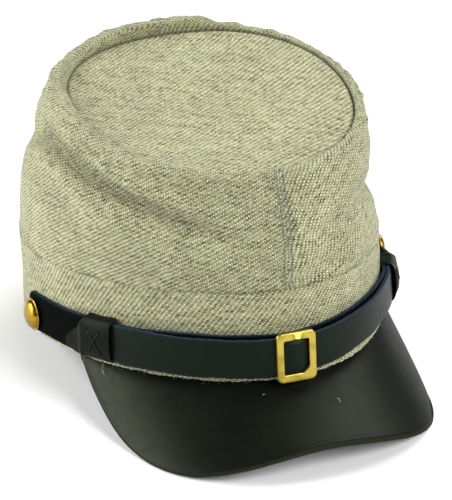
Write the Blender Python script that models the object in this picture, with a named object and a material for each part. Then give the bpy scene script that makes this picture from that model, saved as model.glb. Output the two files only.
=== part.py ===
"""A forage cap (kepi): a soft twill crown of two side panels and a recessed oval top, a cloth band,
a black leather peak, and a chin strap of two leather layers with keepers, slide buckle and buttons.

The cap is laid out in its own frame, in metres: the origin at the middle of the head opening,
+X to the wearer's left, +Y to the back, +Z up from the band's lower edge. It is then leant back
on the peak's corners and the back of the band, as it rests on a table by itself.
Azimuths run round the cap: 0 is the wearer's left, 90 degrees the back, -90 the front.
"""

import bpy
import numpy as np
from mathutils import Vector

# Sheets
CLOTH = 0.0018
BAND_CLOTH = 0.0025
PEAK_LEATHER = 0.0028
STRAP_LEATHER = 0.0016
KEEPER_LEATHER = 0.0011
GAP = 0.0003

# Band: the oval that goes round the head
BAND_HALF_WIDTH = 0.0850
BAND_HALF_LENGTH = 0.1047
BAND_TOP_HALF_WIDTH = 0.0836
BAND_TOP_HALF_LENGTH = 0.1065
BAND_TOP_SHIFT = -0.0010
OVAL_SLIM = 0.024
OVAL_PRESS = 0.026
OVAL_PRESS_AZIMUTH = -30
OVAL_PRESS_SPREAD = 26
BAND_HEIGHT = 0.0397
BAND_TOP_RISE = -0.0105
BAND_TOP_LEAN = -0.011
BAND_EDGE_DIP = 0.0015

# Recessed top: an oval that leans forward, narrower behind than in front
TOP_HALF_WIDTH = 0.0650
TOP_HALF_LENGTH = 0.0709
TOP_EGG = 0.022
TOP_CORNERS = 0.012
TOP_CENTRE = (0.0, -0.0214, 0.1068)
TOP_TILT = 13.2
TOP_ROLL = 1.8
TOP_SAG = 0.0012
TOP_RINGS = (1.0, 0.88, 0.45)

# Rolled rim round the top: the radius of its roll and its lift over the top's plane
RIM_ROLL = (
    # azimuth, radius, lift
    (-90, 0.0031, -0.0010),
    (-50, 0.0028, -0.0010),
    (-20, 0.0024, -0.0010),
    (15, 0.0022, -0.0010),
    (50, 0.0023, -0.0008),
    (78, 0.0035, 0.0024),
    (105, 0.0038, 0.0032),
    (132, 0.0039, 0.0010),
    (165, 0.0050, 0.0004),
    (200, 0.0046, 0.0),
    (235, 0.0038, -0.0006),
)
RIM_DEPTH = 0.0024

# How far the crown's wall swells outward, low and high on it
CROWN_SWELL = (
    # azimuth, low swell, high swell
    (-90, 0.0012, 0.0014),
    (-50, 0.0008, 0.0008),
    (-20, 0.0000, 0.0001),
    (20, 0.0010, 0.0006),
    (60, 0.0035, 0.0028),
    (90, 0.0042, 0.0036),
    (130, 0.0030, 0.0030),
    (160, 0.0018, 0.0032),
    (200, 0.0014, 0.0018),
    (235, 0.0010, 0.0014),
)

# Folds of the crown: a curve over its wall from start to end, bent towards middle, and how far
# it stands out (+) or in (-) at the three
CROWN_FOLDS = (
    # start (azimuth, share of height), middle, end, half width, depths
    ((-212, 0.60), (-176, 1.25), (-108, 0.42), 0.0075, (-0.0030, -0.0022, -0.0014)),
    ((-168, 0.98), (-142, 0.95), (-112, 0.70), 0.0050, (0.0004, 0.0016, 0.0008)),
    ((-212, 0.44), (-174, 1.12), (-146, 0.46), 0.0080, (-0.0008, 0.0018, 0.0008)),
    ((6, 0.26), (-50, 0.60), (-72, 0.36), 0.0085, (-0.0042, -0.0056, -0.0008)),
    ((-34, 0.18), (-50, 0.22), (-66, 0.14), 0.0080, (0.0006, 0.0010, 0.0006)),
    ((-88, 0.74), (-86, 0.50), (-83, 0.16), 0.0055, (0.0008, 0.0012, 0.0006)),
    ((-104, 0.42), (-100, 0.30), (-94, 0.16), 0.0045, (-0.0006, -0.0010, -0.0006)),
    ((-92, 0.10), (-84, 0.06), (-72, 0.10), 0.0050, (-0.0010, -0.0016, -0.0008)),
    ((-160, 0.24), (-140, 0.16), (-118, 0.26), 0.0080, (0.0008, 0.0012, 0.0006)),
    ((34, 0.40), (66, 0.24), (100, 0.34), 0.0085, (-0.0020, -0.0028, -0.0014)),
    ((28, 0.72), (58, 0.80), (88, 0.62), 0.0080, (-0.0006, -0.0018, -0.0010)),
    ((112, 0.58), (134, 0.44), (150, 0.56), 0.0080, (-0.0008, -0.0022, -0.0010)),
)
FOLD_STEPS = 24
FOLD_EASE = 9.0

# Peak: a leather sheet sloping from the band's edge
PEAK_HALF_WIDTH = 0.0757
PEAK_SHIFT = -0.0010
PEAK_LEFT_TAPER = 0.0023
PEAK_TWIST = -0.005
PEAK_FRONT_HALF_WIDTH = 0.0738
PEAK_SHOULDER = 0.0550
PEAK_FRONT = 0.1420
PEAK_CORNER_POWER = 2.78
PEAK_SLOPE = 0.54
PEAK_SIDE_SLOPE = 0.088
PEAK_TUCK = 0.0020

# Chin strap: an inner layer from the wearer's right button, an outer one from the left
STRAP_WIDTH = 0.0182
STRAP_RUN = (
    # azimuth, middle height, inner layer's stand-off, outer layer's stand-off
    (-185, 0.0126, 0.0003, 0.0022),
    (-167, 0.0134, 0.0005, 0.0026),
    (-152, 0.0135, 0.0018, 0.0037),
    (-142, 0.0133, 0.0018, 0.0037),
    (-122, 0.0124, 0.0008, 0.0038),
    (-90.7, 0.0109, 0.0005, 0.0040),
    (-62, 0.0138, 0.0008, 0.0037),
    (-33, 0.0158, 0.0018, 0.0037),
    (-23, 0.0155, 0.0018, 0.0037),
    (-12, 0.0145, 0.0003, 0.0008),
    (5, 0.0140, 0.0003, 0.0003),
)
BUTTON_AZIMUTHS = {"right": -176.8, "left": -4.4}
KEEPER_AZIMUTHS = {"right": -147.0, "left": -28.5}
STRAP_END = 0.0085
STRAP_ROUNDING = (0.06, 0.25, 0.55)

# Keepers: leather loops over both layers of the strap, each with a tongue
KEEPER_LENGTH = 0.0146
KEEPER_TONGUE = 0.0140
KEEPER_ROOM = 0.0005
KEEPER_CUT = 0.0010
KEEPER_INNER_CUT = 0.0002
KEEPER_SECTION = (
    # front (1) or back (-1), top (1) or bottom (-1), corner cut in depth, in height
    (1, 1, 0, 1),
    (1, -1, 0, 1),
    (1, -1, 1, 0),
    (-1, -1, 1, 0),
    (-1, -1, 0, 1),
    (-1, 1, 0, 1),
    (-1, 1, 1, 0),
    (1, 1, 1, 0),
)
KEEPER_ROWS = (
    # share of the loop's half length, share of the tongue's length, width
    (-1.0, 0.0, 1.0),
    (0.0, 0.0, 1.0),
    (1.0, 0.0, 1.0),
    (1.0, 0.25, 0.95),
    (1.0, 0.55, 0.90),
    (1.0, 0.80, 0.74),
    (1.0, 0.94, 0.50),
    (1.0, 1.00, 0.25),
)

# Slide buckle
BUCKLE_AZIMUTH = -90.7
BUCKLE_SIZE = (0.0187, 0.0230)
BUCKLE_WINDOW = (0.0120, 0.0158)
BUCKLE_CORNER = 0.0026
WINDOW_CORNER = 0.0008
CORNER_STEPS = 4
BUCKLE_PLATE = 0.0014
BAR_WIDTH = 0.0024
BAR_THICKNESS = 0.0012
BAR_REACH = 0.0105
LUG_HEIGHT = 0.0011

# Side buttons, a profile turned about the button's axis
BUTTON_PROFILE = (
    # radius, height over the strap
    (0.0069, 0.0),
    (0.0077, 0.0006),
    (0.0077, 0.0012),
    (0.0070, 0.0016),
    (0.0060, 0.0024),
    (0.0042, 0.0036),
    (0.0021, 0.0043),
)
BUTTON_CROWN = 0.0045

# How the cap rests: leant back, its lowest cloth and leather pressed flat
REST_TILT = 7.93
REST_PRESS = 0.0006

# Steps of the faceted surfaces
AROUND = 76
WALL_ROWS = 15
RIM_ROWS = 6
BAND_ROWS = 3
PEAK_COLUMNS = 33
PEAK_ROWS = 8
STRAP_COLUMNS = 34
BUTTON_SIDES = 20
SHARP_ANGLE = 35

FINISHES = {
    # colour, roughness, metallic
    "crown cloth": ((0.42, 0.42, 0.25), 0.92, 0.0),
    "top cloth": ((0.50, 0.49, 0.30), 0.92, 0.0),
    "band cloth": ((0.34, 0.36, 0.22), 0.92, 0.0),
    "peak leather": ((0.012, 0.014, 0.011), 0.38, 0.0),
    "strap leather": ((0.016, 0.022, 0.017), 0.50, 0.0),
    "brass": ((0.70, 0.49, 0.12), 0.30, 1.0),
}


def oval(azimuth, half_width, half_length):
    """Plan of the head oval: slimmer than an ellipse on its diagonals, and pressed in at one."""
    turn = (np.degrees(azimuth) - OVAL_PRESS_AZIMUTH + 180) % 360 - 180
    press = OVAL_PRESS * np.exp(-(turn / OVAL_PRESS_SPREAD) ** 2)
    reach = 1 - OVAL_SLIM * (1 - np.cos(4 * azimuth)) / 2 - press
    return half_width * reach * np.cos(azimuth), half_length * reach * np.sin(azimuth)


def edge_height(azimuth):
    """Height of the band's lower edge, which dips at front and back."""
    return BAND_EDGE_DIP * np.cos(2 * azimuth)


def seam_height(azimuth):
    """Height of the band's top seam, where the crown is sewn on."""
    x, y = oval(azimuth, BAND_TOP_HALF_WIDTH, BAND_TOP_HALF_LENGTH)
    return BAND_HEIGHT + BAND_TOP_RISE * y + BAND_TOP_LEAN * (x + BAND_TOP_SHIFT)


def band_point(azimuth, height, out=0.0):
    """A point on the band's outer face at a height, or that far out from it."""
    azimuth, height, out = np.broadcast_arrays(azimuth, height, out)
    share = (height / BAND_HEIGHT)[..., None]

    def face(angle):
        low = np.stack(oval(angle, BAND_HALF_WIDTH, BAND_HALF_LENGTH), -1)
        x, y = oval(angle, BAND_TOP_HALF_WIDTH, BAND_TOP_HALF_LENGTH)
        high = np.stack([x + BAND_TOP_SHIFT, y], -1)
        return low + (high - low) * share

    step = face(azimuth + 0.001) - face(azimuth - 0.001)
    step /= np.linalg.norm(step, axis=-1, keepdims=True)
    outward = np.stack([step[..., 1], -step[..., 0]], -1)
    return np.concatenate([face(azimuth) + out[..., None] * outward, height[..., None]], -1)


def turn_of(azimuth, length):
    """The turn of azimuth that a length along the band takes up."""
    step = band_point(azimuth + 0.01, 0.0) - band_point(azimuth - 0.01, 0.0)
    return 0.02 * length / np.linalg.norm(step)


def top_point(azimuth, share, out, up):
    """A point by the recessed top: a share of its radius, then metres outward and up."""
    tilt, roll = np.radians(TOP_TILT), np.radians(TOP_ROLL)
    right = np.array([np.cos(roll), -np.sin(roll) * np.sin(tilt), np.sin(roll) * np.cos(tilt)])
    back = np.array([0.0, np.cos(tilt), np.sin(tilt)])
    above = np.cross(right, back)
    c, s = np.cos(azimuth), np.sin(azimuth)
    reach = share * (1 + TOP_EGG * np.sin(3 * azimuth) - TOP_CORNERS * np.cos(4 * azimuth))
    outward = np.stack([c / TOP_HALF_WIDTH, s / TOP_HALF_LENGTH], -1)
    outward /= np.linalg.norm(outward, axis=-1, keepdims=True)
    u = TOP_HALF_WIDTH * reach * c + out * outward[..., 0]
    v = TOP_HALF_LENGTH * reach * s + out * outward[..., 1]
    level = np.broadcast_to(up, u.shape)
    return (np.array(TOP_CENTRE) + u[..., None] * right + v[..., None] * back
            + level[..., None] * above)


def rim_point(azimuth, turn):
    """The rim's roll: turn 0 is its outermost line, 180 its inner side."""
    radius, lift = round_table(azimuth, RIM_ROLL, 1), round_table(azimuth, RIM_ROLL, 2)
    out = GAP / 2 + radius * (1 + np.cos(np.radians(turn)))
    return top_point(azimuth, 1.0, out, lift + radius * np.sin(np.radians(turn)))


def eased(azimuth, table, column):
    """A column of a table by azimuth: a smooth curve through its rows that doesn't overshoot."""
    at = np.radians([row[0] for row in table])
    values = np.array([row[column] for row in table])
    slope = np.diff(values) / np.diff(at)
    product = slope[1:] * slope[:-1]
    steady = product > 0
    bend = np.where(steady, 2 * product / np.where(steady, slope[1:] + slope[:-1], 1.0), 0.0)
    tangent = np.concatenate([slope[:1], bend, slope[-1:]])
    index = np.clip(np.searchsorted(at, azimuth, side="right") - 1, 0, len(at) - 2)
    span = at[index + 1] - at[index]
    t = np.clip((azimuth - at[index]) / span, 0, 1)
    level = values[index] * (1 + 2 * t) * (1 - t) ** 2 + values[index + 1] * t * t * (3 - 2 * t)
    return level + span * t * (1 - t) * (tangent[index] * (1 - t) - tangent[index + 1] * t)


def round_table(azimuth, table, column):
    """A column of a table that goes all the way round, at any azimuth."""
    turns = [[(row[0] + turn, *row[1:]) for row in table] for turn in (-360, 0, 360)]
    start = np.radians(table[0][0])
    return eased(start + (azimuth - start) % (2 * np.pi), sum(turns, []), column)


def fold_depth(azimuth, share, height):
    """How far the folds move the crown's wall out at each place; height is the wall's."""
    depth = np.zeros(np.shape(azimuth))
    for start, middle, end, half_width, depths in CROWN_FOLDS:
        nearest = np.full(depth.shape, np.inf)
        level = np.zeros(depth.shape)
        for t in np.linspace(0, 1, FOLD_STEPS):
            weights = (1 - t) ** 2, 2 * t * (1 - t), t * t
            at, up, deep = (sum(w * v for w, v in zip(weights, values)) for values in
                            ((start[0], middle[0], end[0]), (start[1], middle[1], end[1]), depths))
            turn = (azimuth - np.radians(at) + np.pi) % (2 * np.pi) - np.pi
            distance = np.hypot(turn * BAND_HALF_WIDTH, (share - up) * height)
            closer = distance < nearest
            nearest = np.where(closer, distance, nearest)
            level = np.where(closer, deep, level)
        depth += level * np.exp(-(nearest / half_width) ** 2)
    return depth


def crown_point(azimuth, share):
    """The crown's outer face: share 0 at the band's seam, 1 at the rim's outermost line."""
    azimuth, share = np.broadcast_arrays(azimuth, share)
    low = band_point(azimuth, seam_height(azimuth) + GAP)
    rise = rim_point(azimuth, 0.0) - low
    arc = 2 * np.sin(np.pi * share)
    low_swell, high_swell = (round_table(azimuth, CROWN_SWELL, column) for column in (1, 2))
    swell = arc * ((1 - share) * low_swell + share * high_swell)
    ends = np.clip(FOLD_EASE * share * (1 - share), 0, 1)
    swell = swell + ends * fold_depth(azimuth, share, np.linalg.norm(rise, axis=-1))
    outward = np.stack([np.cos(azimuth), np.sin(azimuth), 0 * azimuth], -1)
    return low + rise * share[..., None] + swell[..., None] * outward


def normals(grid, wraps):
    """Outward directions of a grid of points: columns run round the cap, rows up it."""
    if wraps:
        along = np.roll(grid, -1, 1) - np.roll(grid, 1, 1)
    else:
        along = np.gradient(grid, axis=1)
    outward = np.cross(along, np.gradient(grid, axis=0))
    return outward / np.linalg.norm(outward, axis=-1, keepdims=True)


def behind(grid, thickness, wraps=False):
    """The back face of a sheet: its grid moved in by a thickness."""
    return grid - thickness * normals(grid, wraps)


def shell(outer, inner, wraps=False, cells=None, capped=False):
    """Points and faces of a closed wall between two grids, over the cells that are kept.

    A capped shell has its last row filled over, on both sides, instead of a wall there.
    """
    rows, columns = outer.shape[:2]
    if cells is None:
        cells = np.ones((rows - 1, columns if wraps else columns - 1), bool)
    across = cells.shape[1]

    def corner(side, i, j):
        return (side * rows + i) * columns + j % columns

    def open_beside(i, j):
        j = j % across if wraps else j
        if capped and i == rows - 1:
            return False
        return not (0 <= i < rows - 1 and 0 <= j < across and cells[i, j])

    faces = []
    for i, j in zip(*np.nonzero(cells)):
        ring = ((i, j), (i, j + 1), (i + 1, j + 1), (i + 1, j))
        faces.append([corner(0, *at) for at in ring])
        faces.append([corner(1, *at) for at in reversed(ring)])
        for side, beside in enumerate(((i - 1, j), (i, j + 1), (i + 1, j), (i, j - 1))):
            if open_beside(*beside):
                start, end = ring[side], ring[(side + 1) % 4]
                faces.append([corner(0, *end), corner(0, *start),
                              corner(1, *start), corner(1, *end)])
    if capped:
        faces.append([corner(0, rows - 1, j) for j in range(columns)])
        faces.append([corner(1, rows - 1, j) for j in reversed(range(columns))])
    points = np.concatenate([outer.reshape(-1, 3), inner.reshape(-1, 3)])
    used = sorted({index for face in faces for index in face})
    renumbered = {old: new for new, old in enumerate(used)}
    return points[used], [[renumbered[index] for index in face] for face in faces]


def crown_panel(start, end):
    """One side panel of the crown, between two seams, with its half of the rolled rim."""
    azimuth = np.radians(np.linspace(start, end, AROUND // 2 + 1))
    wall = [crown_point(azimuth, share) for share in np.linspace(0, 1, WALL_ROWS)]
    roll = [rim_point(azimuth, turn) for turn in np.linspace(0, 180, RIM_ROWS)[1:]]
    foot = top_point(azimuth, 1.0, GAP / 2, -RIM_DEPTH)
    outer = np.stack(wall + roll + [foot])
    inner = behind(outer, CLOTH)
    inner[0] = band_point(azimuth, seam_height(azimuth) + GAP, -CLOTH)
    middle = np.radians((start + end) / 2)
    aside = GAP / 2 * np.array([np.cos(middle), np.sin(middle), 0.0])
    for face in (outer, inner):
        face[:, (0, -1)] += aside
    return shell(outer, inner)


def crown_top():
    """The recessed oval top, sewn in under the rim, with a slight sag."""
    azimuth = np.radians(np.linspace(-90, 270, AROUND, endpoint=False))
    edge = top_point(azimuth, 1.0, -GAP / 2, 0.0)
    rings = [top_point(azimuth, share, 0.0, -TOP_SAG * (1 - share ** 2)) for share in TOP_RINGS]
    outer = np.stack([edge] + rings)
    inner = behind(outer, CLOTH, wraps=True)
    inner[0] = top_point(azimuth, 1.0, -GAP / 2, -CLOTH)
    return shell(outer, inner, wraps=True, capped=True)


def hat_band():
    """The band: a closed strip of cloth with a raw lower edge."""
    azimuth = np.radians(np.linspace(-90, 270, AROUND, endpoint=False))
    low, high = edge_height(azimuth), seam_height(azimuth)
    heights = [low + (high - low) * share for share in np.linspace(0, 1, BAND_ROWS)]
    outer, inner = (np.stack([band_point(azimuth, height, out) for height in heights])
                    for out in (0.0, -BAND_CLOTH))
    return shell(outer, inner, wraps=True)


def evenly(points, count):
    """A line of points read again at even steps of its length."""
    steps = np.linalg.norm(np.diff(points, axis=0), axis=1)
    length = np.concatenate([[0.0], np.cumsum(steps)])
    at = np.linspace(0, length[-1], count)
    return np.stack([np.interp(at, length, column) for column in points.T], -1)


def peak_outline(count):
    """Plan of the peak's free edge, from the wearer's right end round the front to the left."""
    turn = np.radians(np.linspace(-90, 90, 361))
    power = 2 / PEAK_CORNER_POWER
    forward = np.abs(np.cos(turn)) ** power
    half = PEAK_HALF_WIDTH + (PEAK_FRONT_HALF_WIDTH - PEAK_HALF_WIDTH) * forward
    x = PEAK_SHIFT + half * np.sign(turn) * np.abs(np.sin(turn)) ** power
    x -= PEAK_LEFT_TAPER * (turn > 0) * (1 - forward) ** 2
    y = -PEAK_SHOULDER - (PEAK_FRONT - PEAK_SHOULDER) * forward
    root = band_front(x[[0, -1]])[0]
    x = np.concatenate([x[:1], x, x[-1:]])
    y = np.concatenate([root[:1], y, root[1:]])
    return evenly(np.stack([x, y], -1), count)


def band_front(x):
    """Where the band's lower edge stands at a place across the front: y and azimuth."""
    azimuth = np.radians(np.linspace(-175, -5, 341))
    edge = band_point(azimuth, edge_height(azimuth))
    return np.interp(x, edge[:, 0], edge[:, 1]), np.interp(x, edge[:, 0], azimuth)


def peak():
    """The peak, tucked under the band's edge and sloping down and outward from it."""
    free = peak_outline(PEAK_COLUMNS)
    azimuth = band_front(free[(0, -1), 0])[1]
    across = np.linspace(azimuth[0], azimuth[1], PEAK_COLUMNS)
    root = band_point(across, edge_height(across), -PEAK_TUCK)[:, :2]
    shares = np.linspace(0, 1, PEAK_ROWS)[:, None, None]
    plan = free + (root - free) * shares
    y, azimuth = band_front(plan[..., 0])
    reach = np.maximum(y - plan[..., 1], 0.0)
    aside = (plan[..., 0] - PEAK_SHIFT) / BAND_HALF_WIDTH
    slope = PEAK_SLOPE + PEAK_SIDE_SLOPE * aside ** 2 + PEAK_TWIST * aside
    height = edge_height(azimuth) - GAP - reach * slope
    outer = np.concatenate([plan, height[..., None]], -1)
    return shell(outer, behind(outer, PEAK_LEATHER))


def strap_layer(start, end, column):
    """A layer of the chin strap between two azimuths, with both ends rounded."""
    half = STRAP_WIDTH / 2
    rounding = half * np.append(0.0, STRAP_ROUNDING)
    first = start + turn_of(start, 1.0) * rounding
    last = end - turn_of(end, 1.0) * rounding[::-1]
    azimuth = np.concatenate([first, np.linspace(first[-1], last[0], STRAP_COLUMNS)[1:-1], last])
    from_end = np.minimum((azimuth - start) / turn_of(start, 1.0),
                          (end - azimuth) / turn_of(end, 1.0))
    into = np.clip(1 - (from_end + rounding[1] / 2) / half, 0, 1)
    rise = half * np.sqrt(1 - into ** 2)
    middle, out = eased(azimuth, STRAP_RUN, 1), eased(azimuth, STRAP_RUN, column)
    outer, inner = (np.stack([band_point(azimuth, middle + side * rise, out + depth)
                              for side in (-1, 1)]) for depth in (STRAP_LEATHER, 0.0))
    return shell(outer, inner)


def keeper_face(azimuth, width, front, back, half, cut):
    """One face of a keeper: its eight-sided section at each azimuth."""
    side, up, cut_out, cut_up = np.array(KEEPER_SECTION).T
    out = np.where(side > 0, front[:, None], back[:, None]) - side * cut_out * cut
    height = eased(azimuth, STRAP_RUN, 1)[:, None] + up * width[:, None] * (half - cut_up * cut)
    return band_point(azimuth[:, None], height, out)


def keeper(middle, tongue_side, under):
    """A keeper loop round both layers of the strap, with a tongue on its front.

    The tongue points to rising (1) or falling (-1) azimuth, on the layer of column under.
    """
    loop, tongue, width = np.array(KEEPER_ROWS)[::tongue_side].T
    length = loop * KEEPER_LENGTH / 2 + tongue * KEEPER_TONGUE
    azimuth = middle + tongue_side * turn_of(middle, 1.0) * length
    top = np.where(tongue > 0, eased(azimuth, STRAP_RUN, under), eased(azimuth, STRAP_RUN, 3))
    front = top + STRAP_LEATHER + GAP
    back = eased(azimuth, STRAP_RUN, 2) - GAP
    half = STRAP_WIDTH / 2 + KEEPER_ROOM
    outer = keeper_face(azimuth, width, front + KEEPER_LEATHER, back - KEEPER_LEATHER,
                        half + KEEPER_LEATHER, KEEPER_CUT)
    inner = keeper_face(azimuth, width, front, back, half, KEEPER_INNER_CUT)
    cells = np.ones((len(width) - 1, len(KEEPER_SECTION)), bool)
    on_tongue = (tongue[1:] > 0) | (tongue[:-1] > 0)
    cells[on_tongue, 1:] = False
    return shell(outer, inner, wraps=True, cells=cells)


def local_frame(azimuth, height, out):
    """A place over the band with its along, up and outward directions."""
    place = band_point(azimuth, height, out)
    along = band_point(azimuth + 0.01, height, out) - band_point(azimuth - 0.01, height, out)
    up = band_point(azimuth, height + 0.001, out) - place
    along, up = along / np.linalg.norm(along), up / np.linalg.norm(up)
    outward = np.cross(along, up)
    return place, along, up, outward / np.linalg.norm(outward)


def rounded_rectangle(size, radius):
    """Corner points of a rectangle with rounded corners, anticlockwise."""
    turn = np.radians(np.linspace(0, 90, CORNER_STEPS))
    arcs = []
    for quarter, (right, top) in enumerate(((1, 1), (-1, 1), (-1, -1), (1, -1))):
        centre = np.array([right * (size[0] / 2 - radius), top * (size[1] / 2 - radius)])
        angle = turn + quarter * np.pi / 2
        arcs.append(centre + radius * np.stack([np.cos(angle), np.sin(angle)], -1))
    return np.concatenate(arcs)


def buckle_place():
    """Where the back of the buckle's plate lies, in front of the strap's outer layer."""
    azimuth = np.radians(BUCKLE_AZIMUTH)
    stand_off = eased(azimuth, STRAP_RUN, 3) + STRAP_LEATHER + GAP
    return local_frame(azimuth, eased(azimuth, STRAP_RUN, 1), stand_off)


def buckle_plate():
    """The slide buckle's frame: a flat plate with rounded corners and a window."""
    place, along, up, outward = buckle_place()
    loops = np.stack([rounded_rectangle(BUCKLE_SIZE, BUCKLE_CORNER),
                      rounded_rectangle(BUCKLE_WINDOW, WINDOW_CORNER)])
    back = place + loops[..., :1] * along + loops[..., 1:] * up
    return shell(back + BUCKLE_PLATE * outward, back, wraps=True)


def buckle_bar():
    """The buckle's middle bar behind the outer layer, with the lugs that join it to the frame."""
    place, along, up, outward = buckle_place()
    seat = BUCKLE_PLATE / 2
    deep = -STRAP_LEATHER - 2 * GAP
    reach = BAR_REACH - LUG_HEIGHT
    section = ((seat, reach), (deep, reach), (deep, -reach), (seat, -reach),
               (seat, -BAR_REACH), (deep - BAR_THICKNESS, -BAR_REACH),
               (deep - BAR_THICKNESS, BAR_REACH), (seat, BAR_REACH))
    face = np.array([place + out * outward + rise * up for out, rise in section])
    sides = [face - along * BAR_WIDTH / 2, face + along * BAR_WIDTH / 2]
    count = len(section)
    faces = [list(range(count)), list(range(2 * count - 1, count - 1, -1))]
    for j in range(count):
        after = (j + 1) % count
        faces.append([after, j, count + j, count + after])
    return np.concatenate(sides), faces


def button(azimuth, column):
    """A domed button on the strap: its profile turned round the outward direction."""
    stand_off = eased(azimuth, STRAP_RUN, column) + STRAP_LEATHER + GAP
    place, along, up, outward = local_frame(azimuth, eased(azimuth, STRAP_RUN, 1), stand_off)
    turn = np.linspace(0, 2 * np.pi, BUTTON_SIDES, endpoint=False)
    around = np.cos(turn)[:, None] * along + np.sin(turn)[:, None] * up
    rings = [place + radius * around + level * outward for radius, level in BUTTON_PROFILE]
    points = np.concatenate(rings + [[place + BUTTON_CROWN * outward]])
    faces = [list(range(BUTTON_SIDES - 1, -1, -1))]
    for ring in range(len(rings) - 1):
        for j in range(BUTTON_SIDES):
            low, high = ring * BUTTON_SIDES, (ring + 1) * BUTTON_SIDES
            after = (j + 1) % BUTTON_SIDES
            faces.append([low + j, low + after, high + after, high + j])
    last = (len(rings) - 1) * BUTTON_SIDES
    for j in range(BUTTON_SIDES):
        faces.append([last + j, last + (j + 1) % BUTTON_SIDES, len(points) - 1])
    return points, faces


def pieces():
    """Every piece's name, points and faces in the cap's own frame, and finish."""
    right_button, left_button = (np.radians(BUTTON_AZIMUTHS[side]) for side in ("right", "left"))
    right_keeper, left_keeper = (np.radians(KEEPER_AZIMUTHS[side]) for side in ("right", "left"))
    past_button = turn_of(right_button, STRAP_END)
    in_keeper = turn_of(right_keeper, KEEPER_LENGTH / 4)
    inner = strap_layer(right_button - past_button, left_keeper + in_keeper, 2)
    outer = strap_layer(right_keeper - in_keeper, left_button + past_button, 3)
    return {
        "crown_panel_left": (crown_panel(-90, 90), "crown cloth"),
        "crown_panel_right": (crown_panel(90, 270), "crown cloth"),
        "crown_top": (crown_top(), "top cloth"),
        "band": (hat_band(), "band cloth"),
        "peak": (peak(), "peak leather"),
        "strap_inner": (inner, "strap leather"),
        "strap_outer": (outer, "strap leather"),
        "keeper_left": (keeper(left_keeper, 1, 3), "strap leather"),
        "keeper_right": (keeper(right_keeper, -1, 2), "strap leather"),
        "buckle": (buckle_plate(), "brass"),
        "buckle_bar": (buckle_bar(), "brass"),
        "button_left": (button(left_button, 3), "brass"),
        "button_right": (button(right_button, 2), "brass"),
    }


def leant(points):
    """Points turned back by the angle at which the cap rests."""
    tilt = np.radians(REST_TILT)
    x, y, z = points.T
    return np.stack([x, y * np.cos(tilt) + z * np.sin(tilt),
                     z * np.cos(tilt) - y * np.sin(tilt)], -1)


def at_rest(made):
    """The pieces leant back and set down, with their middle over the origin."""
    placed = {name: leant(shape[0]) for name, (shape, _) in made.items()}
    everything = np.concatenate(list(placed.values()))
    low, high = everything.min(0), everything.max(0)
    shift = np.array([(low[0] + high[0]) / 2, (low[1] + high[1]) / 2, low[2] + REST_PRESS])
    for name, points in placed.items():
        points -= shift
        if made[name][1] != "brass":
            points[:, 2] = np.maximum(points[:, 2], 0.0)
    return placed


def finished(name, finish):
    """A piece's own material, with the colour, roughness and metallic value of its finish."""
    colour, roughness, metallic = FINISHES[finish]
    material = bpy.data.materials.new(name)
    material.use_nodes = True
    shader = material.node_tree.nodes["Principled BSDF"]
    shader.inputs["Base Color"].default_value = (*colour, 1.0)
    shader.inputs["Roughness"].default_value = roughness
    shader.inputs["Metallic"].default_value = metallic
    material.diffuse_color = (*colour, 1.0)
    return material


def add_piece(name, points, faces, finish, parent):
    """A piece as a smooth-shaded mesh object, sharp at its edges, with its own material."""
    mesh = bpy.data.meshes.new(name)
    mesh.from_pydata([Vector(point) for point in points], [], faces)
    mesh.shade_smooth()
    mesh.set_sharp_from_angle(angle=np.radians(SHARP_ANGLE))
    mesh.materials.append(finished(name, finish))
    piece = bpy.data.objects.new(name, mesh)
    bpy.context.scene.collection.objects.link(piece)
    piece.parent = parent
    return piece


def main():
    for existing in list(bpy.data.objects):
        bpy.data.objects.remove(existing, do_unlink=True)
    cap = bpy.data.objects.new("cap", None)
    bpy.context.scene.collection.objects.link(cap)
    made = pieces()
    placed = at_rest(made)
    objects = {name: add_piece(name, placed[name], shape[1], finish, cap)
               for name, (shape, finish) in made.items()}
    bar = objects["buckle_bar"]
    bar.hide_render = True
    bar.display_type = "WIRE"
    joined = objects["buckle"].modifiers.new("bar", "BOOLEAN")
    joined.operation = "UNION"
    joined.object = bar


main()
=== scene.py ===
import math

import bpy
import numpy as np
from mathutils import Euler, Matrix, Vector


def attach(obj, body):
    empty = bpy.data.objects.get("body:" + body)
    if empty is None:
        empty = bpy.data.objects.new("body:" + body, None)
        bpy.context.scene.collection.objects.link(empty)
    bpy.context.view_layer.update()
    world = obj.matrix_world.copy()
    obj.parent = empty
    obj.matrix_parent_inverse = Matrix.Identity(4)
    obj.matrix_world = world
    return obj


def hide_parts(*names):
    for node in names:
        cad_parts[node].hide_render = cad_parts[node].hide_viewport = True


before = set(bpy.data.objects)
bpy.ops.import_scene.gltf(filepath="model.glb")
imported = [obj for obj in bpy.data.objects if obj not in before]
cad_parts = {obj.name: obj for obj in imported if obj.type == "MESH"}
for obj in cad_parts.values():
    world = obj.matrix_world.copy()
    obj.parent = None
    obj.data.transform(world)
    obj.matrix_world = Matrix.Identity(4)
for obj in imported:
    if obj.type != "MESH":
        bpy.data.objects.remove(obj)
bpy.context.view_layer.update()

# A forage cap (kepi): twill cloth crown, recessed top and band, leather peak and chin strap,
# gilt buckle and buttons. Lengths are in metres. Shapes are laid out in the cap's own frame,
# with its origin at the middle of the head opening, +X to the wearer's left, +Y to the back and
# +Z up from the band's lower edge, and are then leant back as the cap rests on a table.
# Azimuths run round the cap: 0 is the wearer's left, 90 degrees the back, -90 the front.
bl_info = {
    "name": "Forage Cap",
    "version": (1, 0, 0),
    "blender": (4, 5, 0),
    "location": "View3D > Sidebar > Cap",
    "description": "Makes a twill forage cap with its leather peak, chin strap and brass",
    "category": "Object",
}

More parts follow.
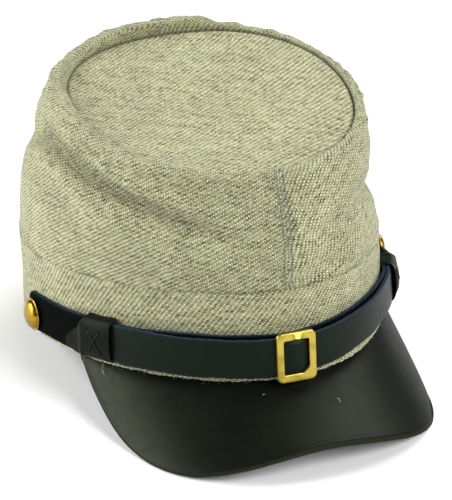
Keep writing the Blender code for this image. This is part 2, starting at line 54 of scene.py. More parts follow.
# ---------------------------------------------------------------- sizes shared with the solids
# Thickness of the pieces, and the gap that is left between two of them
CLOTH = 0.0018
BAND_CLOTH = 0.0025
PEAK_LEATHER = 0.0028
STRAP_LEATHER = 0.0016
GAP = 0.0003

# The head oval at the band's lower edge and at its top seam: how much slimmer it is than an
# ellipse, how it is pressed in at one azimuth, and how the seam's height varies over its plan
BAND_HALF_WIDTH, BAND_HALF_LENGTH = 0.0850, 0.1047
BAND_TOP_HALF_WIDTH, BAND_TOP_HALF_LENGTH = 0.0836, 0.1065
BAND_TOP_SHIFT = -0.0010
OVAL_SLIM, OVAL_PRESS, OVAL_PRESS_AZIMUTH, OVAL_PRESS_SPREAD = 0.024, 0.026, -30, 26
BAND_HEIGHT, BAND_TOP_RISE, BAND_TOP_LEAN = 0.0397, -0.0105, -0.011
BAND_EDGE_DIP = 0.0015

# The recessed top: its egg-shaped oval, its middle, its lean in degrees, and its sag
TOP_HALF_WIDTH, TOP_HALF_LENGTH = 0.0650, 0.0709
TOP_EGG, TOP_CORNERS = 0.022, 0.012
TOP_CENTRE = (0.0, -0.0214, 0.1068)
TOP_TILT, TOP_ROLL = 13.2, 1.8
TOP_SAG = 0.0012
# Where the rim has drawn the top's edge up: azimuth in degrees, rise, and the reach of it
# round the edge in degrees and inward as a share of the top's radius.
TOP_DRAWN = (172, 0.0012, 50, 0.10)
RIM_DEPTH = 0.0024
RIM_ROLL = (
    # azimuth, radius, lift
    (-90, 0.0031, -0.0010), (-50, 0.0028, -0.0010), (-20, 0.0024, -0.0010),
    (15, 0.0022, -0.0010), (50, 0.0023, -0.0008), (78, 0.0035, 0.0024),
    (105, 0.0038, 0.0032), (132, 0.0039, 0.0010), (165, 0.0050, 0.0004),
    (200, 0.0046, 0.0), (235, 0.0038, -0.0006),
)
CROWN_SWELL = (
    # azimuth, low swell, high swell
    (-90, 0.0012, 0.0014), (-50, 0.0008, 0.0008), (-20, 0.0000, 0.0001),
    (20, 0.0010, 0.0006), (60, 0.0035, 0.0028), (90, 0.0042, 0.0036),
    (130, 0.0030, 0.0030), (160, 0.0018, 0.0032), (200, 0.0014, 0.0018),
    (235, 0.0010, 0.0014),
)
CROWN_FOLDS = (
    # start (azimuth, share of height), middle, end, half width, depths
    ((-212, 0.60), (-176, 1.25), (-108, 0.42), 0.0075, (-0.0030, -0.0022, -0.0014)),
    ((-168, 0.98), (-142, 0.95), (-112, 0.70), 0.0050, (0.0004, 0.0016, 0.0008)),
    ((-212, 0.44), (-174, 1.12), (-146, 0.46), 0.0080, (-0.0008, 0.0018, 0.0008)),
    ((6, 0.26), (-50, 0.60), (-72, 0.36), 0.0085, (-0.0042, -0.0056, -0.0008)),
    ((-34, 0.18), (-50, 0.22), (-66, 0.14), 0.0080, (0.0006, 0.0010, 0.0006)),
    ((-88, 0.74), (-86, 0.50), (-83, 0.16), 0.0055, (0.0008, 0.0012, 0.0006)),
    ((-104, 0.42), (-100, 0.30), (-94, 0.16), 0.0045, (-0.0006, -0.0010, -0.0006)),
    ((-92, 0.10), (-84, 0.06), (-72, 0.10), 0.0050, (-0.0010, -0.0016, -0.0008)),
    ((-160, 0.24), (-140, 0.16), (-118, 0.26), 0.0080, (0.0008, 0.0012, 0.0006)),
    ((34, 0.40), (66, 0.24), (100, 0.34), 0.0085, (-0.0020, -0.0028, -0.0014)),
    ((28, 0.72), (58, 0.80), (88, 0.62), 0.0080, (-0.0006, -0.0018, -0.0010)),
    ((112, 0.58), (134, 0.44), (150, 0.56), 0.0080, (-0.0008, -0.0022, -0.0010)),
)
# Steps along a fold's line, and how soon folds set in from the crown's two edges
FOLD_STEPS = 24
FOLD_EASE = 9.0

# The peak: its half widths where it leaves the band and in front, how far it is off the middle
# and askew, how far forward it reaches, how square its corners are, where its root ends, how it
# slopes down, and how far it is tucked in under the band
PEAK_HALF_WIDTH, PEAK_FRONT_HALF_WIDTH = 0.0780, 0.0751
PEAK_SHIFT, PEAK_LEFT_TAPER, PEAK_TWIST = 0.0002, 0.0019, -0.005
PEAK_SHOULDER, PEAK_FRONT, PEAK_CORNER_POWER = 0.0550, 0.1403, 2.74
PEAK_ROOT, PEAK_SKEW, PEAK_LEFT_SQUARE = 0.0402, 0.024, 0.10
PEAK_SLOPE, PEAK_SIDE_SLOPE, PEAK_TUCK = 0.54, 0.088, 0.0020

# The chin strap with its keepers, tongues and buttons. INNER and OUTER are columns of the run.
STRAP_WIDTH = 0.0182
STRAP_RUN = (
    # azimuth, middle height, inner layer's stand-off, outer layer's stand-off
    (-185, 0.0126, 0.0003, 0.0022), (-167, 0.0134, 0.0005, 0.0026),
    (-152, 0.0135, 0.0018, 0.0037), (-142, 0.0133, 0.0018, 0.0037),
    (-122, 0.0124, 0.0008, 0.0038), (-90.7, 0.0109, 0.0005, 0.0040),
    (-62, 0.0138, 0.0008, 0.0037), (-33, 0.0158, 0.0018, 0.0037),
    (-23, 0.0155, 0.0018, 0.0037), (-12, 0.0145, 0.0003, 0.0008),
    (5, 0.0140, 0.0003, 0.0003),
)
INNER, OUTER = 2, 3
BUTTON_AZIMUTHS = {"right": -176.8, "left": -4.4}
KEEPER_AZIMUTHS = {"right": -147.0, "left": -28.5}
BUTTON_SEATS = (
    # side, the layer under it, how much higher and further out it sits than the layer's middle
    ("left", OUTER, 0.0032, 0.0010), ("right", INNER, -0.0014, 0.0),
)
STRAP_END = 0.0085
KEEPER_LENGTH, KEEPER_TONGUE, KEEPER_ROOM = 0.0146, 0.0140, 0.0001
KEEPER_SKIN, KEEPER_POWER, KEEPER_ROUND, KEEPER_LIFT = 0.0009, 2.15, 0.0016, 0.0008
KEEPER_SQUEEZE, KEEPER_REACH = 0.06, 0.0105
TONGUE = (
    # share of its length, upper edge, lower edge: 1 and -1 are the keeper's own edges
    (0.0, 1.0, -1.0), (0.06, 0.86, -1.0), (0.12, 0.72, -1.0), (0.20, 0.55, -1.0),
    (0.35, 0.36, -1.0), (0.52, 0.18, -0.98), (0.70, 0.01, -0.94), (0.86, -0.18, -0.86),
    (0.95, -0.34, -0.77), (0.99, -0.47, -0.68), (1.0, -0.56, -0.60),
)
INNER_RISE = (
    # azimuth, how much higher the inner layer lies than the outer one
    (-190, 0.0), (-142, 0.0), (-122, 0.0009), (-90, 0.0012), (-62, 0.0011), (-36, 0.0),
    (10, 0.0),
)
LOWER_RISE = (
    # azimuth, how far the strap's lower edge is drawn up
    (-190, 0.0), (-96, 0.0), (-84, 0.0006), (-72, 0.0014), (-60, 0.0024), (-50, 0.0030),
    (-41, 0.0024), (-33, 0.0010), (-22, 0.0), (10, 0.0),
)
BUCKLE_AZIMUTH = -90.7
BUCKLE_SIZE, BUCKLE_WINDOW = (0.0185, 0.0236), (0.0120, 0.0160)
BUCKLE_CORNER, WINDOW_CORNER, BUCKLE_ASIDE = 0.0026, 0.0009, 0.0006
BUCKLE_PLATE = 0.0014

# How far the cap leans back as it rests, in degrees, and the point that is set on the origin
REST_TILT = 7.93
SET_DOWN = (-0.00076560, -0.01643449, -0.01540298)

# ---------------------------------------------------------------- cloth
# Twill: cycles per millimetre along and up the piece, of its diagonal lines and of its warp
# The top's is counted from TOP_COUNT_FROM in front of its middle, and spreads by TOP_SPREAD
TOP_TWILL = ((0.24, -0.40), (0.92, -0.05))
TOP_SPREAD, TOP_COUNT_FROM = (0.00031, -0.00104), 0.08
RIGHT_TWILL = ((0.28, -0.525), (0.93, 0.21))
LEFT_TWILL = ((0.47, -0.15), (0.62, 0.72))
LEFT_TWILL_HIGH = ((0.47, -0.36), (0.62, 0.42))
BAND_TWILL = ((0.41, -0.34), (0.79, 0.49))
# The left panel's twill turns from low to high between these heights, in full forward of the
# second azimuth and not at all behind the first one
LEFT_TWILL_TURN, LEFT_TWILL_AZIMUTHS = (0.018, 0.032), (50, -10)

# Power of the rim's inner side, and how dark the painted shade of a fold is at its darkest and
# how deep the fold is there
RIM_SQUARE = 3.4
FOLD_SHADE, FOLD_SHADE_DEPTH = 0.60, 0.0030
CREASE_STEPS = 80
CREASES = (
    # start (azimuth, share of height), middle, end, half width, depths
    ((-190, 0.86), (-158, 0.93), (-108, 0.52), 0.0046, (-0.0020, -0.0040, -0.0012)),
    ((-180, 0.95), (-146, 0.98), (-114, 0.73), 0.0036, (0.0006, 0.0016, 0.0009)),
    ((-196, 0.66), (-172, 0.92), (-144, 0.50), 0.0040, (0.0010, 0.0028, 0.0012)),
    ((-174, 0.83), (-164, 0.80), (-150, 0.76), 0.0024, (-0.0004, -0.0010, -0.0004)),
    ((-142, 0.75), (-132, 0.71), (-121, 0.64), 0.0024, (-0.0004, -0.0011, -0.0004)),
    ((-87.5, 0.78), (-86, 0.52), (-84, 0.18), 0.0024, (0.0003, 0.0009, 0.0004)),
    ((-192, 0.60), (-176, 0.52), (-166, 0.22), 0.0035, (0.0004, 0.0008, 0.0004)),
    ((-186, 0.62), (-168, 0.60), (-156, 0.30), 0.0038, (-0.0003, -0.0009, -0.0004)),
    ((-148, 0.40), (-140, 0.30), (-128, 0.12), 0.0034, (-0.0002, -0.0007, -0.0003)),
    ((-103, 0.36), (-99, 0.28), (-95, 0.16), 0.0022, (-0.0003, -0.0008, -0.0004)),
    ((-168, 0.86), (-150, 0.80), (-134, 0.70), 0.0030, (-0.0005, -0.0010, -0.0012)),
    ((-134, 0.72), (-126, 0.64), (-118, 0.58), 0.0028, (-0.0008, -0.0010, -0.0002)),
    ((-196, 0.66), (-186, 0.72), (-176, 0.76), 0.0030, (0.0004, 0.0007, 0.0003)),
    ((-75, 0.24), (-64, 0.42), (-44, 0.48), 0.0030, (0.0005, 0.0014, 0.0006)),
    ((-79, 0.38), (-71, 0.60), (-56, 0.68), 0.0036, (-0.0004, -0.0012, -0.0005)),
    ((-22, 0.30), (-34, 0.42), (-48, 0.50), 0.0030, (-0.0008, -0.0010, -0.0004)),
    ((-88, 0.08), (-82, 0.05), (-76, 0.07), 0.0020, (-0.0004, -0.0008, -0.0003)),
    ((-155, 0.10), (-146, 0.20), (-141, 0.34), 0.0040, (-0.0003, -0.0006, -0.0002)),
    ((-126, 0.10), (-120, 0.18), (-118, 0.30), 0.0040, (0.0003, 0.0005, 0.0002)),
    ((40, 0.52), (58, 0.40), (80, 0.46), 0.0035, (0.0004, 0.0010, 0.0003)),
    ((88, 0.20), (112, 0.30), (128, 0.22), 0.0035, (-0.0004, -0.0009, -0.0003)),
    ((18, 0.60), (30, 0.48), (46, 0.56), 0.0030, (-0.0003, -0.0007, -0.0002)),
)

# What varies round the band: its level, what it gains at one azimuth in degrees, and how many
# degrees that gain reaches. How tight its seam is, and how far its raw edge has drawn up.
SEAM_PULL = (0.30, 0.60, -97, 20)
EDGE_DRAWN = (0.0004, 0.0011, -52, 24)
# How far the raw edge stands out where the peak is sewn under it: metres, middle and reach in
# degrees from the front, and how abruptly that ends
EDGE_FLARES = ((0.0005, 0, 52, 8), (0.0010, 34, 30, 4))

# A seam's groove is this wide. The turned-in cloth beside it is this much higher, up to here.
SEAM_GROOVE, SEAM_RIDGE, SEAM_RIDGE_END = 0.0007, 0.00028, 0.0034
# The crown's front and back seams: their share of a seam's depth, and how much they hold
# ripples down within a reach
SIDE_SEAM_DEPTH, SIDE_SEAM_HOLD, SIDE_SEAM_REACH = 0.15, 0.7, 0.0022
# The top's edge holds ripples down within a reach, and is tucked down by so much over the second
TOP_EDGE_HOLD, TOP_EDGE_TUCK, TOP_EDGE_TUCK_REACH = 0.003, 0.0010, 0.0009
# Usual height of the crown's wall, and the length of cloth round the rim
WALL_HEIGHT, ROLL_LENGTH = 0.07, 0.012

# Painted shadow by the cloth's seams, how dark and how far: the crown's two seams, above and
# below the band's seam, and in the corner round the top, on the rim and on the top
SIDE_SHADOW, CROWN_SHADOW, BAND_SHADOW = (0.12, 0.0005), (0.70, 0.0009), (0.60, 0.0008)
RIM_SHADOW, TOP_SHADOW = (0.80, 0.0007), (0.60, 0.0006)

# Unevenness of the pieces as layers of ripples: the height and the size of their bumps
PANEL_RIPPLES = ((0.00050, 0.016), (0.00030, 0.005))
BAND_PUCKERS, BAND_PUCKERS_REACH = (0.00030, 0.0045), 0.006
RIM_PUCKERS, RIM_PUCKERS_REACH = (0.00080, 0.0050), 0.009
TOP_RIPPLES = ((0.00050, 0.022), (0.00020, 0.005))
BAND_RIPPLES = ((0.00030, 0.014), (0.00012, 0.004))
FUZZ, RAW_EDGE = (0.00008, 0.0011), (0.00035, 0.0016)
PEAK_RIPPLES, PEAK_FRAY = ((0.00022, 0.045), (0.00003, 0.008)), (0.00018, 0.0012)
STRAP_EDGE_RIPPLES, STRAP_RIPPLES = ((0.00016, 0.0014), (0.00022, 0.011)), (0.00004, 0.012)
KEEPER_CREASES = ((0.00013, 0.0035), (0.00022, 0.006))
BUCKLE_RIPPLES = (0.00003, 0.006)
TOP_SEED, BAND_SEED, PEAK_SEED, KEEPER_SEED, BUCKLE_SEED = 41, 61, 81, 91, 97
STRAP_SEEDS = {INNER: 71, OUTER: 74}
# Waves of a ripple are this many times as long as its bumps
RIPPLE_LENGTHS = (1.4, 3.2)

# Mesh points of the pieces: how many, how many times closer they lie at both ends, and within
# which share of the way. A cloth's back is coarser than its face by BACK_STEP.
PANEL_COLUMNS, PANEL_ROWS = (421, 3.2, 0.018), (178, 2.6, 0.03)
ROLL_ROWS, FOOT_ROWS = 22, 9
STITCHED_ROWS = (3, 192)
TOP_COLUMNS, TOP_ROWS, TOP_MIDDLE = 432, (97, 2.0, 0.02), 0.01
BAND_COLUMNS, BAND_ROWS = 800, (45, 2.4, 0.06)
PEAK_COLUMNS, PEAK_ROWS = 281, (73, 3.0, 0.02)
STRAP_COLUMNS = {INNER: (260, 3.0, 0.02), OUTER: (320, 3.0, 0.02)}
LOOP_ROWS, TONGUE_ROWS, KEEPER_AROUND = 30, 44, 96
BUCKLE_AROUND, BUTTON_AROUND = 216, 96
BACK_STEP, PEAK_BACK_STEP = 4, 6

# Radians to each side over which a direction round the band is taken
CLOSE, NEAR = 0.001, 0.01
# A direction that no strand runs along, from which its sides are counted
STRAND_GUIDE = (0.31, 0.52, 0.79)

# ---------------------------------------------------------------- leather and brass
# How far the peak's edge is burnished down, the depth of the groove beside it, how far in that
# lies, and how far the cut edge bulges
PEAK_BURNISH, PEAK_GROOVE, PEAK_GROOVE_IN, PEAK_BULGE = 0.00045, 0.00012, 0.0022, 0.00030
PEAK_CUT = (
    # share of the peak's thickness, share of the cut edge's bulge
    (0.15, 0.5), (0.32, 0.8), (0.5, 0.9), (0.68, 0.8), (0.86, 0.5),
)
# The strap's face is so much higher in its middle, its edges are so round, its ends are round
# over this share of half its width, and a keeper pinches its edges in by so much
STRAP_CROWN, STRAP_CORNER, STRAP_END_LENGTH, STRAP_PINCH = 0.00012, 0.00032, 0.75, 0.0009
# A tongue is pressed down over this share of its length, loses so much of the keeper's
# roundness, and is so much squarer. A keeper's back is flat by its power.
TONGUE_PRESSED, TONGUE_FLAT, TONGUE_FIRM, KEEPER_BACK_POWER = 0.42, 0.85, 6, 14.0
CROSS_HOLES = (
    # metres along the strap towards the keeper's tongue, and up
    (0.0042, 0.0050), (-0.0025, 0.0044), (0.0042, -0.0056), (-0.0025, -0.0061),
)
CROSS_THREADS = ((0, 3), (1, 2))
LINT = (
    # start, middle, end, in the cap's own frame
    ((-0.0706, -0.0548, 0.0010), (-0.0736, -0.0566, -0.0008), (-0.0724, -0.0592, -0.0032)),
    ((-0.0167, -0.1095, -0.0052), (-0.0160, -0.1099, -0.0046), (-0.0154, -0.1094, -0.0051)),
    ((0.0150, -0.1180, -0.0098), (0.0162, -0.1190, -0.0090), (0.0158, -0.1204, -0.0108)),
    ((-0.0480, -0.1010, -0.0128), (-0.0474, -0.1020, -0.0118), (-0.0484, -0.1024, -0.0130)),
)

BUCKLE_SECTION = (
    # share of the way from the outline to the window, share of the plate's thickness
    (0.0, 0.0), (0.03, 0.22), (0.0, 0.55), (0.02, 0.80), (0.06, 0.94), (0.12, 1.0), (0.35, 1.0),
    (0.65, 1.0), (0.88, 1.0), (0.95, 0.94), (0.99, 0.80), (1.0, 0.5), (1.0, 0.10), (0.9, 0.0),
)
# Half the width and thickness of the buckle's bar, and half its height
BAR_HALF, BAR_REACH = (0.0012, 0.0006), 0.0098
BUTTON_SHANK = 0.0032
BUTTON_SECTION = (
    # radius, level, share of the rim's height that is added to the level
    (BUTTON_SHANK, 0.0, 0), (0.0050, 0.0, 0), (0.0066, 0.0001, 0), (0.0073, 0.0004, 0),
    (0.0077, 0.0008, 0), (0.00775, 0.0011, 0), (0.0076, 0.0013, 0.3), (0.0073, 0.0013, 0.5),
    (0.0069, 0.0013, 0.35), (0.0067, 0.0014, 0),
)
DOME_RADIUS, DOME_FOOT, DOME_RISE = 0.0067, 0.0014, 0.0031


# ---------------------------------------------------------------- curves and directions
def bell(distance, width, power=2):
    """1 at no distance, and less past a width: more abruptly for a higher power."""
    return np.exp(-(distance / width) ** power)


def ease(share):
    """A share kept within 0 and 1 that starts and ends softly."""
    share = np.clip(share, 0, 1)
    return share * share * (3 - 2 * share)


def unit(vectors):
    """Vectors drawn out or in to a length of one."""
    return vectors / np.maximum(np.linalg.norm(vectors, axis=-1, keepdims=True), 1e-12)


def curve(start, middle, end, t):
    """A place on a quadratic curve, at a share of it."""
    return (1 - t) ** 2 * start + 2 * t * (1 - t) * middle + t * t * end


def shadow(distance, dark, reach):
    """How dark painted shadow is at a distance from a seam or a corner."""
    return dark * bell(distance, reach)


def ring_radius(c, s, power):
    """Radius of a ring in a direction: the ring is round for a power of 2, and squarer above."""
    return (np.abs(c) ** power + np.abs(s) ** power) ** (-1 / power)


def degrees_from(azimuth, place):
    """Degrees from a place round the cap to an azimuth, from -180 to 180."""
    return (np.degrees(azimuth) - place + 180) % 360 - 180


def most_at(azimuth, level, gain, place, reach):
    """A value that has a level round the cap and gains some at one place."""
    return level + gain * bell(degrees_from(azimuth, place), reach)


# ---------------------------------------------------------------- the cap's surfaces
def oval(azimuth, half_width, half_length):
    """Plan of the head oval: slimmer than an ellipse on its diagonals, and pressed in at one."""
    press = most_at(azimuth, 0.0, OVAL_PRESS, OVAL_PRESS_AZIMUTH, OVAL_PRESS_SPREAD)
    reach = 1 - OVAL_SLIM * (1 - np.cos(4 * azimuth)) / 2 - press
    return half_width * reach * np.cos(azimuth), half_length * reach * np.sin(azimuth)


def edge_height(azimuth):
    """Height of the band's lower edge, which dips at front and back."""
    return BAND_EDGE_DIP * np.cos(2 * azimuth)


def edge_lift(azimuth):
    """How much the band's raw edge has drawn up from where it was cut."""
    return most_at(azimuth, *EDGE_DRAWN)


def seam_height(azimuth):
    """Height of the band's top seam, where the crown is sewn on."""
    x, y = oval(azimuth, BAND_TOP_HALF_WIDTH, BAND_TOP_HALF_LENGTH)
    return BAND_HEIGHT + BAND_TOP_RISE * y + BAND_TOP_LEAN * (x + BAND_TOP_SHIFT)


def band_point(azimuth, height, out=0.0):
    """A point on the band's outer face at a height, or that far out from it."""
    azimuth, height, out = np.broadcast_arrays(azimuth, height, out)
    share = (height / BAND_HEIGHT)[..., None]

    def face(angle):
        low = np.stack(oval(angle, BAND_HALF_WIDTH, BAND_HALF_LENGTH), -1)
        x, y = oval(angle, BAND_TOP_HALF_WIDTH, BAND_TOP_HALF_LENGTH)
        high = np.stack([x + BAND_TOP_SHIFT, y], -1)
        return low + (high - low) * share

    step = unit(face(azimuth + CLOSE) - face(azimuth - CLOSE))
    outward = np.stack([step[..., 1], -step[..., 0]], -1)
    return np.concatenate([face(azimuth) + out[..., None] * outward, height[..., None]], -1)


def turn_of(azimuth, length):
    """The turn of azimuth that a length along the band takes up."""
    step = band_point(azimuth + NEAR, 0.0) - band_point(azimuth - NEAR, 0.0)
    return 2 * NEAR * length / np.linalg.norm(step)


def top_point(azimuth, share, out, up):
    """A point by the recessed top: a share of its radius, then metres outward and up."""
    tilt, roll = np.radians(TOP_TILT), np.radians(TOP_ROLL)
    right = np.array([np.cos(roll), -np.sin(roll) * np.sin(tilt), np.sin(roll) * np.cos(tilt)])
    back = np.array([0.0, np.cos(tilt), np.sin(tilt)])
    above = np.cross(right, back)
    c, s = np.cos(azimuth), np.sin(azimuth)
    reach = share * (1 + TOP_EGG * np.sin(3 * azimuth) - TOP_CORNERS * np.cos(4 * azimuth))
    outward = unit(np.stack([c / TOP_HALF_WIDTH, s / TOP_HALF_LENGTH], -1))
    u = TOP_HALF_WIDTH * reach * c + out * outward[..., 0]
    v = TOP_HALF_LENGTH * reach * s + out * outward[..., 1]
    level = np.broadcast_to(up, u.shape)
    return (np.array(TOP_CENTRE) + u[..., None] * right + v[..., None] * back
            + level[..., None] * above)


def rim_section(azimuth, turn, power=2.0):
    """Section of the rim's roll, outward and up from the top's edge: turn 0 is its outermost
    line, 180 its inner side, which is squarer for a power above 2.
    """
    radius, lift = round_table(azimuth, RIM_ROLL, 1), round_table(azimuth, RIM_ROLL, 2)
    c, s = np.cos(np.radians(turn)), np.sin(np.radians(turn))
    reach = ring_radius(c, s, np.where(c < 0, power, 2.0))
    return GAP / 2 + radius * (1 + reach * c), lift + radius * reach * s


def rim_point(azimuth, turn):
    """A place on the rim's roll."""
    return top_point(azimuth, 1.0, *rim_section(azimuth, turn))


def eased(azimuth, table, column):
    """A column of a table by azimuth: a smooth curve through its rows that doesn't overshoot."""
    at = np.radians([row[0] for row in table])
    values = np.array([row[column] for row in table])
    slope = np.diff(values) / np.diff(at)
    product = slope[1:] * slope[:-1]
    steady = product > 0
    bend = np.where(steady, 2 * product / np.where(steady, slope[1:] + slope[:-1], 1.0), 0.0)
    tangent = np.concatenate([slope[:1], bend, slope[-1:]])
    index = np.clip(np.searchsorted(at, azimuth, side="right") - 1, 0, len(at) - 2)
    span = at[index + 1] - at[index]
    t = np.clip((azimuth - at[index]) / span, 0, 1)
    level = values[index] * (1 + 2 * t) * (1 - t) ** 2 + values[index + 1] * t * t * (3 - 2 * t)
    return level + span * t * (1 - t) * (tangent[index] * (1 - t) - tangent[index + 1] * t)


def round_table(azimuth, table, column):
    """A column of a table that goes all the way round, at any azimuth."""
    turns = [[(row[0] + turn, *row[1:]) for row in table] for turn in (-360, 0, 360)]
    start = np.radians(table[0][0])
    return eased(start + (azimuth - start) % (2 * np.pi), sum(turns, []), column)


def fold_depth(azimuth, share, height, folds, steps=FOLD_STEPS):
    """How far folds move the crown's wall out at each place; height is the wall's."""
    depth = np.zeros(np.shape(azimuth))
    for start, middle, end, half_width, depths in folds:
        nearest = np.full(depth.shape, np.inf)
        level = np.zeros(depth.shape)
        for t in np.linspace(0, 1, steps):
            at, up, deep = (curve(*row, t) for row in (*zip(start, middle, end), depths))
            turn = (azimuth - np.radians(at) + np.pi) % (2 * np.pi) - np.pi
            distance = np.hypot(turn * BAND_HALF_WIDTH, (share - up) * height)
            closer = distance < nearest
            nearest = np.where(closer, distance, nearest)
            level = np.where(closer, deep, level)
        depth += level * bell(nearest, half_width)
    return depth


def crown_point(azimuth, share):
    """The crown's outer face: share 0 at the band's seam, 1 at the rim's outermost line."""
    azimuth, share = np.broadcast_arrays(azimuth, share)
    low = band_point(azimuth, seam_height(azimuth) + GAP)
    rise = rim_point(azimuth, 0.0) - low
    arc = 2 * np.sin(np.pi * share)
    low_swell, high_swell = (round_table(azimuth, CROWN_SWELL, column) for column in (1, 2))
    swell = arc * ((1 - share) * low_swell + share * high_swell)
    ends = np.clip(FOLD_EASE * share * (1 - share), 0, 1)
    height = np.linalg.norm(rise, axis=-1)
    swell = swell + ends * fold_depth(azimuth, share, height, CROWN_FOLDS)
    outward = np.stack([np.cos(azimuth), np.sin(azimuth), 0 * azimuth], -1)
    return low + rise * share[..., None] + swell[..., None] * outward


def local_frame(azimuth, height, out):
    """A place over the band with its along, up and outward directions."""
    place = band_point(azimuth, height, out)
    along = unit(band_point(azimuth + NEAR, height, out) - band_point(azimuth - NEAR, height, out))
    up = unit(band_point(azimuth, height + 0.001, out) - place)
    return place, along, up, unit(np.cross(along, up))


# ---------------------------------------------------------------- grids and meshes
def normals(grid, wraps=False):
    """Outward directions of a grid of points: columns run round the cap, rows up it."""
    if wraps:
        along = np.roll(grid, -1, 1) - np.roll(grid, 1, 1)
    else:
        along = np.gradient(grid, axis=1)
    return unit(np.cross(along, np.gradient(grid, axis=0)))


def spread(count, ends, reach):
    """Numbers from 0 to 1 that crowd at both ends: ends times closer there, within reach."""
    fine = np.linspace(0, 1, 2001)
    density = 1 + (ends - 1) * (bell(fine, reach) + bell(1 - fine, reach))
    total = np.concatenate([[0.0], np.cumsum((density[1:] + density[:-1]) / 2)])
    return np.interp(np.linspace(0, total[-1], count), total, fine)


def step_lengths(grid, axis):
    """Distance run along an axis of a grid of points, from its first row or column."""
    steps = np.linalg.norm(np.diff(grid, axis=axis), axis=-1)
    start = np.zeros_like(np.take(steps, [0], axis=axis))
    return np.concatenate([start, np.cumsum(steps, axis=axis)], axis=axis)


def read_at(points, run, at):
    """Points of a line, or any row of values, at distances along it; run is where each lies."""
    return np.stack([np.interp(at, run, column) for column in points.T], -1)


def evenly(points, count):
    """A line of points read again at even steps of its length."""
    run = step_lengths(points, 0)
    return read_at(points, run, np.linspace(0, run[-1], count))


def ripples(points, size, seed, waves=14):
    """A smooth uneven field over points, about -1 to 1, with bumps of a size."""
    draw = np.random.default_rng(seed)
    level = np.zeros(points.shape[:-1])
    for _ in range(waves):
        direction = draw.normal(size=3)
        wave = size * draw.uniform(*RIPPLE_LENGTHS)
        direction *= 2 * np.pi / (wave * np.linalg.norm(direction))
        level += np.sin(points @ direction + draw.uniform(0, 2 * np.pi))
    return level * math.sqrt(2 / waves) / 2


def uneven(points, seed, *layers):
    """Layers of ripples as one field: each has a height and the size of its bumps."""
    return sum(height * ripples(points, size, seed + number)
               for number, (height, size) in enumerate(layers))


def cells(rows, columns, down, across):
    """Faces of a grid of points, down by across of them: past its end it goes on at its start."""
    i, j = np.meshgrid(np.arange(down), np.arange(across), indexing="ij")
    below, beside = (i + 1) % rows, (j + 1) % columns
    corner = np.stack([i * columns + j, i * columns + beside,
                       below * columns + beside, below * columns + j], -1)
    return corner.reshape(-1, 4).tolist()


def sheet(outer, back, wraps=False, capped=False):
    """Points, faces and the outer point behind each, of a closed sheet with a coarser back."""
    rows, columns = outer.shape[:2]
    keep_rows, keep_columns = np.arange(0, rows, BACK_STEP), np.arange(0, columns, BACK_STEP)
    high, wide = len(keep_rows), len(keep_columns)
    back_across = wide if wraps else wide - 1
    base = rows * columns

    def behind(i, j):
        return base + i * wide + j % wide

    faces = cells(rows, columns, rows - 1, columns if wraps else columns - 1)
    faces += [[base + corner for corner in (a, d, c, b)]
              for a, b, c, d in cells(high, wide, high - 1, back_across)]
    for j in range(back_across):
        run = [(keep_columns[j] + k) % columns for k in range(BACK_STEP + 1)]
        faces.append(run[::-1] + [behind(0, j), behind(0, j + 1)])
        if not capped:
            faces.append([(rows - 1) * columns + k for k in run]
                         + [behind(high - 1, j + 1), behind(high - 1, j)])
    if not wraps:
        for i in range(high - 1):
            run = [(keep_rows[i] + k) * columns for k in range(BACK_STEP + 1)]
            faces.append(run + [behind(i + 1, 0), behind(i, 0)])
            faces.append([k + columns - 1 for k in run][::-1]
                         + [behind(i, wide - 1), behind(i + 1, wide - 1)])
    if capped:
        faces.append([(rows - 1) * columns + k for k in range(columns)])
        faces.append([behind(high - 1, k) for k in reversed(range(wide))])
    kept = (keep_rows[:, None] * columns + keep_columns).ravel()
    points = outer.reshape(-1, 3)
    points = np.concatenate([points, back[::BACK_STEP, ::BACK_STEP].reshape(-1, 3)])
    return points, faces, np.concatenate([np.arange(base), kept])


def loops(rings, wraps=False):
    """Points and faces of a skin over rings of points: each row is a ring round the piece."""
    rows, columns = rings.shape[:2]
    faces = cells(rows, columns, rows if wraps else rows - 1, columns)
    if not wraps:
        faces.append(list(range(columns))[::-1])
        faces.append([(rows - 1) * columns + k for k in range(columns)])
    return rings.reshape(-1, 3), faces


def strand(path, radius, sides):
    """Points and faces of a thin tube along a path, tapered where radius holds two numbers."""
    along = unit(np.gradient(path, axis=0))
    side = unit(np.cross(along, STRAND_GUIDE))
    other = np.cross(along, side)
    turn = np.linspace(0, 2 * np.pi, sides, endpoint=False)[:, None]
    ring = np.cos(turn) * side[:, None] + np.sin(turn) * other[:, None]
    thick = np.linspace(*radius, len(path)) if np.ndim(radius) else np.full(len(path), radius)
    return loops(path[:, None] + thick[:, None, None] * ring)


def gathered(parts):
    """Several (points, faces) as one."""
    points, faces, count = [], [], 0
    for part_points, part_faces in parts:
        points.append(part_points)
        faces += [[index + count for index in face] for face in part_faces]
        count += len(part_points)
    return np.concatenate(points), faces


def at_rest(points, pressed=True):
    """Points of the cap's own frame, leant back and set down; cloth is pressed flat there."""
    tilt = math.radians(REST_TILT)
    x, y, z = points.T
    placed = np.stack([x, y * math.cos(tilt) + z * math.sin(tilt),
                       z * math.cos(tilt) - y * math.sin(tilt)], -1) - np.array(SET_DOWN)
    if pressed:
        placed[:, 2] = np.maximum(placed[:, 2], 0.0)
    return placed


